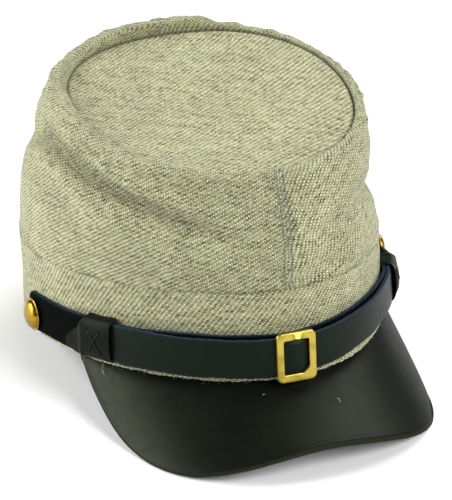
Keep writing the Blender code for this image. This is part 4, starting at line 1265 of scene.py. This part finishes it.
def strap_skin(start, end, layer, bulge=0.0):
    """A layer of the chin strap between two azimuths, with rounded ends and dyed edges."""
    half = STRAP_WIDTH / 2
    section = leather_section(half, STRAP_LEATHER, STRAP_CROWN, STRAP_CORNER, 11)
    azimuth = start + (end - start) * spread(*STRAP_COLUMNS[layer])
    azimuth[0] += turn_of(start, 0.00002)
    azimuth[-1] -= turn_of(end, 0.00002)
    from_end = np.minimum((azimuth - start) / turn_of(start, 1.0),
                          (end - azimuth) / turn_of(end, 1.0))
    into = np.clip(1 - from_end / (half * STRAP_END_LENGTH), 0, 1)
    width = np.sqrt(np.maximum(1 - into ** 2, 0.0004))
    middle, out = eased(azimuth, STRAP_RUN, 1), eased(azimuth, STRAP_RUN, layer)
    if layer == INNER:
        middle = middle + eased(azimuth, INNER_RISE, 1)
    across = section[:, 0] * width[:, None]
    across = across + eased(azimuth, LOWER_RISE, 1)[:, None] * np.clip(-across / half, 0, 1)
    depth = section[:, 1]
    if bulge:
        along = (azimuth - math.radians(BUCKLE_AZIMUTH)) / turn_of(azimuth.mean(), 1.0)
        along = (along - BUCKLE_ASIDE) / (BUCKLE_WINDOW[0] / 2)
        hump = np.cos(np.clip(along, -1, 1) * np.pi / 2)[:, None] ** 1.2
        inside = 1 / (1 + np.exp((np.abs(across + 0.0004) - BUCKLE_WINDOW[1] / 2) / 0.0003))
        depth = depth + bulge * hump * inside
        across = across * (1 - 0.10 * hump * (across > 0))
    for degrees in KEEPER_AZIMUTHS.values():
        centre = math.radians(degrees)
        near = bell(azimuth - centre, turn_of(centre, KEEPER_REACH), 4)[:, None]
        across = across * (1 - KEEPER_SQUEEZE * near) + 0.75 * KEEPER_LIFT * near
        depth = depth - STRAP_PINCH * near * np.abs(across / half) ** 4
    points = band_point(azimuth[:, None], middle[:, None] + across, out[:, None] + depth)
    edge = (np.abs(section[:, 0]) > half - 0.0006) * np.sign(across)
    points[..., 2] += edge * uneven(points, STRAP_SEEDS[layer], *STRAP_EDGE_RIPPLES)
    points[..., 2] += uneven(points, STRAP_SEEDS[layer] + 2, STRAP_RIPPLES)
    raw = np.broadcast_to(section[:, 2], across.shape)
    return loops(points[:, ::-1]), raw[:, ::-1].ravel()


def keeper_section(azimuth, under, sunk):
    """Where a keeper lies at an azimuth: its front and back stand-off, and its middle height."""
    over = eased(azimuth, STRAP_RUN, OUTER)
    front = over + (eased(azimuth, STRAP_RUN, under) - over) * sunk + STRAP_LEATHER + GAP
    back = eased(azimuth, STRAP_RUN, INNER) - GAP
    return front, back, eased(azimuth, STRAP_RUN, 1) + KEEPER_LIFT


def keeper_skin(middle, tongue_side, under):
    """A keeper: a leather loop round both layers of the strap, with a tongue on its front."""
    loop = np.concatenate([np.linspace(-1, 1, LOOP_ROWS), np.ones(TONGUE_ROWS)])[::tongue_side]
    reach = np.sin(np.linspace(0, np.pi / 2, TONGUE_ROWS + 1)[1:])
    tip = np.concatenate([np.zeros(LOOP_ROWS), reach])[::tongue_side]
    along = loop * KEEPER_LENGTH / 2 + tip * KEEPER_TONGUE
    azimuth = middle + tongue_side * turn_of(middle, 1.0) * along
    shares, *edges = zip(*TONGUE)
    upper, lower = (np.interp(tip, shares, edge)[:, None] for edge in edges)
    sunk = ease(tip / TONGUE_PRESSED)
    front, back, height = (value[:, None] for value in keeper_section(azimuth, under, sunk))
    sunk = sunk[:, None]
    half = STRAP_WIDTH / 2 + KEEPER_ROOM
    turn = np.linspace(0, 2 * np.pi, KEEPER_AROUND, endpoint=False) + np.pi / 4
    c, s = np.cos(turn), np.sin(turn)

    def face(grow, power):
        reach = ring_radius(c, s, np.where(c > 0, power, KEEPER_BACK_POWER))
        deep = (front - back) / 2 + grow + (c > 0) * KEEPER_ROUND * (1 - TONGUE_FLAT * sunk)
        firm = power + TONGUE_FIRM * sunk
        squeezed = (upper + lower) / 2 + (upper - lower) / 2 * reach * s
        profile = (1 - np.clip(np.abs(squeezed), 0, 1) ** firm) ** (1 / firm)
        on_tongue = (tip > 0)[:, None] & (c > 0)
        level = (front + back) / 2 + deep * np.where(on_tongue, profile, reach * c)
        rise = (half + grow) * np.where(on_tongue, squeezed, np.clip(reach * s, lower, upper))
        return band_point(azimuth[:, None], height + rise, level)

    outer, inner = face(KEEPER_SKIN, KEEPER_POWER), face(0.0, KEEPER_POWER + 1.0)
    creases = uneven(outer, KEEPER_SEED, KEEPER_CREASES[0])
    creases += uneven(outer * np.array([1, 1, 0.35]), KEEPER_SEED + 1, KEEPER_CREASES[1])
    outer = outer + creases[..., None] * normals(outer, True)
    count = len(azimuth)
    kept = (c > 0.3) & np.roll(c > 0.3, -1)
    made = np.ones((count - 1, KEEPER_AROUND), bool)
    made[(tip[1:] > 0) | (tip[:-1] > 0)] = kept

    def corner(side, i, j):
        return (side * count + i) * KEEPER_AROUND + j % KEEPER_AROUND

    faces = []
    for i, j in zip(*np.nonzero(made)):
        ring = ((i, j), (i, j + 1), (i + 1, j + 1), (i + 1, j))
        faces.append([corner(0, *at) for at in ring])
        faces.append([corner(1, *at) for at in reversed(ring)])
        for number, (m, n) in enumerate(((i - 1, j), (i, j + 1), (i + 1, j), (i, j - 1))):
            if not (0 <= m < count - 1 and made[m, n % KEEPER_AROUND]):
                first, last = ring[number], ring[(number + 1) % 4]
                faces.append([corner(0, *last), corner(0, *first),
                              corner(1, *first), corner(1, *last)])
    used, renumbered = np.unique(faces, return_inverse=True)
    points = np.concatenate([outer.reshape(-1, 3), inner.reshape(-1, 3)])
    raw = np.repeat([0.0, 1.0], count * KEEPER_AROUND)
    return (points[used], renumbered.reshape(-1, 4).tolist()), raw[used]


def cross_stitch(middle, tongue_side, radius):
    """The crossed threads that close a keeper, and dark plugs at the holes that they go through:
    painted shadow in the holes.
    """
    half = STRAP_WIDTH / 2 + KEEPER_ROOM + KEEPER_SKIN

    def on_keeper(azimuth, rise, out):
        front, back, height = keeper_section(azimuth, OUTER, 0.0)
        deep = (front - back) / 2 + KEEPER_SKIN + KEEPER_ROUND
        round_over = (1 - np.abs(rise / half) ** KEEPER_POWER) ** (1 / KEEPER_POWER)
        return band_point(azimuth, height + rise, (front + back) / 2 + deep * round_over + out)

    spots = [np.array([middle + tongue_side * turn_of(middle, 1.0) * along, rise])
             for along, rise in CROSS_HOLES]
    threads, hole_shadows = [], []
    t = np.linspace(0, 1, 19)
    for number, (first, last) in enumerate(CROSS_THREADS):
        azimuth, rise = (a * (1 - t) + b * t for a, b in zip(spots[first], spots[last]))
        over = number * radius * 1.3 * bell(t - 0.5, 0.12)
        out = radius * 0.6 - 2.6 * radius * np.abs(2 * t - 1) ** 12 + over
        threads.append(strand(on_keeper(azimuth, rise, out), radius, 8))
    # Each hole is a short dark tube through the keeper's face: painted shadow of the hole
    for azimuth, rise in spots:
        ends = on_keeper(np.full(2, azimuth), np.full(2, rise), np.array([-0.0004, 0.00012]))
        hole_shadows.append(strand(ends, radius * 1.9, 12))
    return gathered(threads), gathered(hole_shadows)


# ---------------------------------------------------------------- brass pieces
def rounded_rectangle(size, radius, count):
    """Points round a rectangle with rounded corners, at even steps, anticlockwise, and the
    direction of each from its middle.
    """
    turn = np.radians(np.linspace(0, 90, 9))
    arcs = []
    for quarter, (right, top) in enumerate(((1, 1), (-1, 1), (-1, -1), (1, -1))):
        centre = np.array([right * (size[0] / 2 - radius), top * (size[1] / 2 - radius)])
        angle = turn + quarter * np.pi / 2
        arcs.append(centre + radius * np.stack([np.cos(angle), np.sin(angle)], -1))
    line = evenly(np.concatenate(arcs + [arcs[0][:1]]), count + 1)[:-1]
    return line, np.arctan2(line[:, 1] / size[1], line[:, 0] / size[0])


def buckle_skin():
    """The slide buckle: a stamped frame with softened edges, and its bar behind the strap."""
    azimuth = math.radians(BUCKLE_AZIMUTH)
    stand_off = eased(azimuth, STRAP_RUN, OUTER) + STRAP_LEATHER + GAP
    place, along, up, outward = local_frame(azimuth, eased(azimuth, STRAP_RUN, 1), stand_off)
    place = place + BUCKLE_ASIDE * along
    outer, angles = rounded_rectangle(BUCKLE_SIZE, BUCKLE_CORNER, BUCKLE_AROUND)
    window, window_angles = rounded_rectangle(BUCKLE_WINDOW, WINDOW_CORNER, 1440)
    apart = np.abs((window_angles - angles[:, None] + np.pi) % (2 * np.pi) - np.pi)
    inner = window[np.argmin(apart, axis=1)]
    # The top's middle is domed over the end of the bar, and the window's lower corner at the
    # wearer's left is filled in more
    bump = bell(inner[:, 0] - 0.0004, 0.0017, 4) * (inner[:, 1] > 0.006)
    corner = np.clip((inner[:, 0] - 0.0026) / 0.0030, 0, 1) * (inner[:, 1] < -0.005)
    rings = []
    for inward, level in BUCKLE_SECTION:
        flat = outer * (1 - inward) + inner * inward
        flat[:, 1] += (0.0024 * corner - 0.0004 * bump) * np.clip(inward * 2 - 0.6, 0, 1)
        dome = bump * math.sin(math.pi * min(max(inward * 1.1 - 0.3, 0), 0.75) / 0.75)
        out = level * BUCKLE_PLATE + 0.0011 * dome * (level > 0.5)
        rings.append(place + flat[:, :1] * along + flat[:, 1:] * up + out[:, None] * outward)
    rings = np.stack(rings)
    rings = rings + uneven(rings, BUCKLE_SEED, BUCKLE_RIPPLES)[..., None]
    bar = []
    for rise in np.linspace(-1, 1, 13):
        ends = abs(rise) ** 8
        depth = -STRAP_LEATHER - 2 * GAP - BAR_HALF[1] + ends * (STRAP_LEATHER + 0.0010)
        centre = place + (rise * BAR_REACH - 0.0008) * up + depth * outward
        bar.append([centre + a * BAR_HALF[0] * along + b * BAR_HALF[1] * outward
                    for a, b in ((-1, -1), (1, -1), (1, 1), (-1, 1))])
    return gathered([loops(rings.transpose(1, 0, 2)[::-1], wraps=True), loops(np.array(bar))])


def button_skin(azimuth, column, rise, out):
    """A domed button with a rolled rim on a short shank, turned about the outward direction."""
    stand_off = eased(azimuth, STRAP_RUN, column) + STRAP_LEATHER + GAP
    height = eased(azimuth, STRAP_RUN, 1) + rise
    place, along, up, outward = local_frame(azimuth, height, stand_off + out)
    rim = sizes().button_rim
    profile = [(BUTTON_SHANK, -out - GAP / 2)]
    profile += [(radius, level + share * rim) for radius, level, share in BUTTON_SECTION]
    for angle in np.linspace(0.08, 1.0, 15) * np.pi / 2:
        profile.append((DOME_RADIUS * math.cos(angle) ** 0.9 + 0.00001,
                        DOME_FOOT + DOME_RISE * math.sin(angle)))
    around = np.linspace(0, 2 * np.pi, BUTTON_AROUND, endpoint=False)
    spoke = np.cos(around)[:, None] * along + np.sin(around)[:, None] * up
    return loops(np.array([place + radius * spoke + level * outward
                           for radius, level in profile]))


# ---------------------------------------------------------------- operators
class CAP_OT_crown(bpy.types.Operator):
    """Make the crown's two side panels"""

    bl_idname = "cap.crown"
    bl_label = "Crown Panels"

    def execute(self, context):
        # Painted light: the same twill is lighter on the top (pale 0.89) than on the crown (0.80)
        # and the band (0.81), as the top faces up into the light
        material = cloth("crown twill", seed=1.0, pale=0.80)
        for side in PANELS:
            add_cloth(f"crown_cloth_{side}", panel_of(side), material,
                      f"crown_panel_{side}")
        return {"FINISHED"}


class CAP_OT_top(bpy.types.Operator):
    """Make the recessed top"""

    bl_idname = "cap.top"
    bl_label = "Top"

    def execute(self, context):
        # The top's twill is painted lighter than the crown's: painted light on the top
        material = cloth("top twill", seed=2.0, pale=0.89, cream=0.95)
        add_cloth("top_cloth", top_grid(), material, "crown_top", wraps=True,
                  capped=True)
        return {"FINISHED"}


class CAP_OT_band(bpy.types.Operator):
    """Make the band with its raw lower edge, and the loose fibres there"""

    bl_idname = "cap.band"
    bl_label = "Band"

    def execute(self, context):
        material = cloth("band twill", seed=3.0, pale=0.81)
        add_cloth("band_cloth", band_grid(), material, "band", wraps=True)
        pale = yarn("loose fibre", colours().fibre)
        stray = yarn("stray fibre", colours().fleck)
        for name, shape, material in (
                ("frayed_edge", loose_fibres(900, -180, 180, 5, 2.0, 1.0), pale),
                ("loose_threads", loose_fibres(26, -175, -40, 8, 4.5, 1.3), pale),
                ("peak_lint", lint(sizes().fibre_radius * 1.5), pale),
                ("stray_threads", loose_fibres(22, -156, -146, 9, 1.6, 0.9), stray)):
            add_piece(name, shape, material, sharp=0)
        return {"FINISHED"}


class CAP_OT_seams(bpy.types.Operator):
    """Make the topstitching beside the crown's seams"""

    bl_idname = "cap.seams"
    bl_label = "Topstitching"

    def execute(self, context):
        thread = yarn("sewing thread", colours().thread, roughness=0.7)
        add_piece("seam_stitches", seam_rows(), thread, sharp=0)
        return {"FINISHED"}


class CAP_OT_peak(bpy.types.Operator):
    """Make the leather peak"""

    bl_idname = "cap.peak"
    bl_label = "Peak"

    def execute(self, context):
        hues = colours()
        shape, raw = peak_shape()
        material = leather("peak leather", seed=4.0, shine=0.110, dullness=0.42,
                           edge=hues.peak_edge, gloss=hues.peak_sheen)
        add_piece("peak_leather", shape, material, ["peak"], {"raw": raw})
        return {"FINISHED"}


class CAP_OT_strap(bpy.types.Operator):
    """Make the chin strap's two layers and its keepers"""

    bl_idname = "cap.strap"
    bl_label = "Chin Strap"

    def execute(self, context):
        right, left = (math.radians(KEEPER_AZIMUTHS[side]) for side in ("right", "left"))
        first, last = (math.radians(BUTTON_AZIMUTHS[side]) for side in ("right", "left"))
        past = turn_of(first, STRAP_END)
        inside = turn_of(right, KEEPER_LENGTH / 4)
        hues = colours()
        edge, gloss = hues.strap_edge, hues.strap_sheen
        grain = leather("strap leather", seed=5.0, shine=0.126, dullness=0.42, edge=edge,
                        gloss=gloss)
        loop = leather("keeper leather", seed=9.0, shine=0.058, dullness=0.46, edge=edge,
                       gloss=hues.peak_sheen)
        flesh = leather("strap flesh side", seed=8.0, shine=0.015, dullness=0.75, edge=edge,
                        gloss=gloss, tone=0.5)
        thread = yarn("cross stitch thread", hues.cross_thread, roughness=0.6)
        inner = strap_skin(first - past, left + inside, INNER)
        outer = strap_skin(right - inside, last + past, OUTER, sizes().strap_bulge)
        for layer, (shape, raw), material in (("inner", inner, flesh), ("outer", outer, grain)):
            add_piece(f"strap_{layer}_layer", shape, material,
                      [f"strap_{layer}"], {"raw": raw})
        for side, angle, way, under in (("left", left, 1, OUTER), ("right", right, -1, INNER)):
            shape, raw = keeper_skin(angle, way, under)
            add_piece(f"keeper_loop_{side}", shape, loop,
                      [f"keeper_{side}"], {"raw": raw})
            threads, hole_shadows = cross_stitch(angle, way, sizes().cross_radius)
            add_piece(f"cross_stitch_{side}", threads, thread, sharp=0)
            # Dark flesh leather on the hole plugs: painted shadow in the stitch holes
            add_piece(f"stitch_hole_shadows_{side}", hole_shadows, flesh,
                      marks={"raw": np.zeros(len(hole_shadows[0]))})
        return {"FINISHED"}


class CAP_OT_brass(bpy.types.Operator):
    """Make the slide buckle and the side buttons"""

    bl_idname = "cap.brass"
    bl_label = "Brass"

    def execute(self, context):
        plate = brass("buckle brass", seed=6.0, tone=colours().brass, roughness=0.30,
                      dents=0.00003)
        add_piece("buckle_frame", buckle_skin(), plate, ["buckle"], pressed=False,
                  sharp=50)
        gilt = brass("button gilt", seed=7.0, tone=colours().gilt, roughness=0.20,
                     dents=0.00009)
        for side, column, rise, out in BUTTON_SEATS:
            shape = button_skin(math.radians(BUTTON_AZIMUTHS[side]), column, rise, out)
            add_piece(f"button_dome_{side}", shape, gilt, [f"button_{side}"],
                      pressed=False, sharp=60)
        return {"FINISHED"}


# ---------------------------------------------------------------- stage
# The camera was fitted to the photo's outlines: its place, its turn in degrees, and its lens
# in millimetres for a sensor 36 mm wide
CAMERA_PLACE = (-0.418827, -1.009532, 0.582343)
CAMERA_TURN = (64.09011, -0.90992, -22.29758)
CAMERA_LENS = 187.1466
AIM_HEIGHT = 0.06
SOFTBOX_DISTANCE, SOFTBOX_SIZE = 1.6, 1.0
SOFTBOXES = (
    # name, azimuth, elevation, power
    ("front softbox", -60, 35, 28.0),
    ("left softbox", 155, 28, 31.0),
    ("left low softbox", 175, 15, 9.0),
    ("back softbox", 28, 52, 16.0),
)
SKY_STRENGTH = 0.10
FLOOR_REACH = 6.0


class CAP_OT_stage(bpy.types.Operator):
    """Set the floor, the studio lights and the camera"""

    bl_idname = "cap.stage"
    bl_label = "Stage"

    def execute(self, context):
        scene = context.scene
        mesh = bpy.data.meshes.new("floor")
        corners = ((-1, -1), (1, -1), (1, 1), (-1, 1))
        mesh.from_pydata([(x * FLOOR_REACH, y * FLOOR_REACH, 0) for x, y in corners], [],
                         [(0, 1, 2, 3)])
        ground = Finish("floor paint", Roughness=0.9, Base_Color=colours().floor)
        mesh.materials.append(ground.material)
        floor = bpy.data.objects.new("floor", mesh)
        scene.collection.objects.link(floor)
        world = bpy.data.worlds.new("studio")
        world.use_nodes = True
        sky = world.node_tree.nodes["Background"]
        sky.inputs["Color"].default_value = (1.0, 1.0, 1.0, 1.0)
        sky.inputs["Strength"].default_value = SKY_STRENGTH
        scene.world = world
        for name, azimuth, elevation, power in SOFTBOXES:
            lamp = bpy.data.lights.new(name, "AREA")
            lamp.size = SOFTBOX_SIZE
            lamp.energy = power
            holder = bpy.data.objects.new(name, lamp)
            turn = Euler((0.0, -math.radians(elevation), math.radians(azimuth)), "XYZ")
            holder.location = turn.to_matrix() @ Vector((SOFTBOX_DISTANCE, 0.0, 0.0))
            aim = Vector((0.0, 0.0, AIM_HEIGHT)) - holder.location
            holder.rotation_euler = aim.to_track_quat("-Z", "Y").to_euler()
            scene.collection.objects.link(holder)
        lens = bpy.data.cameras.new("camera")
        lens.sensor_width = 36.0
        lens.lens = CAMERA_LENS
        lens.clip_start, lens.clip_end = 0.05, 50.0
        camera = bpy.data.objects.new("camera", lens)
        camera.location = CAMERA_PLACE
        camera.rotation_euler = Euler([math.radians(a) for a in CAMERA_TURN], "XYZ")
        scene.collection.objects.link(camera)
        scene.camera = camera
        scene.view_settings.view_transform = "Standard"
        return {"FINISHED"}


class CAP_PT_panel(bpy.types.Panel):
    """The cap's sizes, colours and pieces"""

    bl_label = "Forage Cap"
    bl_idname = "CAP_PT_panel"
    bl_space_type = "VIEW_3D"
    bl_region_type = "UI"
    bl_category = "Cap"

    def draw(self, context):
        for group in (context.scene.cap_sizes, context.scene.cap_colours):
            box = self.layout.box()
            for title in group.__annotations__:
                box.prop(group, title)
        for operator in PIECES:
            self.layout.operator(operator.bl_idname)


PIECES = (CAP_OT_crown, CAP_OT_top, CAP_OT_band, CAP_OT_seams, CAP_OT_peak, CAP_OT_strap,
          CAP_OT_brass, CAP_OT_stage)
CLASSES = (CapSizes, CapColours, *PIECES, CAP_PT_panel)


def register():
    for known in CLASSES:
        bpy.utils.register_class(known)
    bpy.types.Scene.cap_sizes = bpy.props.PointerProperty(type=CapSizes)
    bpy.types.Scene.cap_colours = bpy.props.PointerProperty(type=CapColours)


def unregister():
    del bpy.types.Scene.cap_sizes
    del bpy.types.Scene.cap_colours
    for known in reversed(CLASSES):
        bpy.utils.unregister_class(known)


def main():
    """Makes the pieces and the stage in order."""
    register()
    for operator in PIECES:
        group, title = operator.bl_idname.split(".")
        getattr(getattr(bpy.ops, group), title)()


if __name__ == "__main__":
    main()
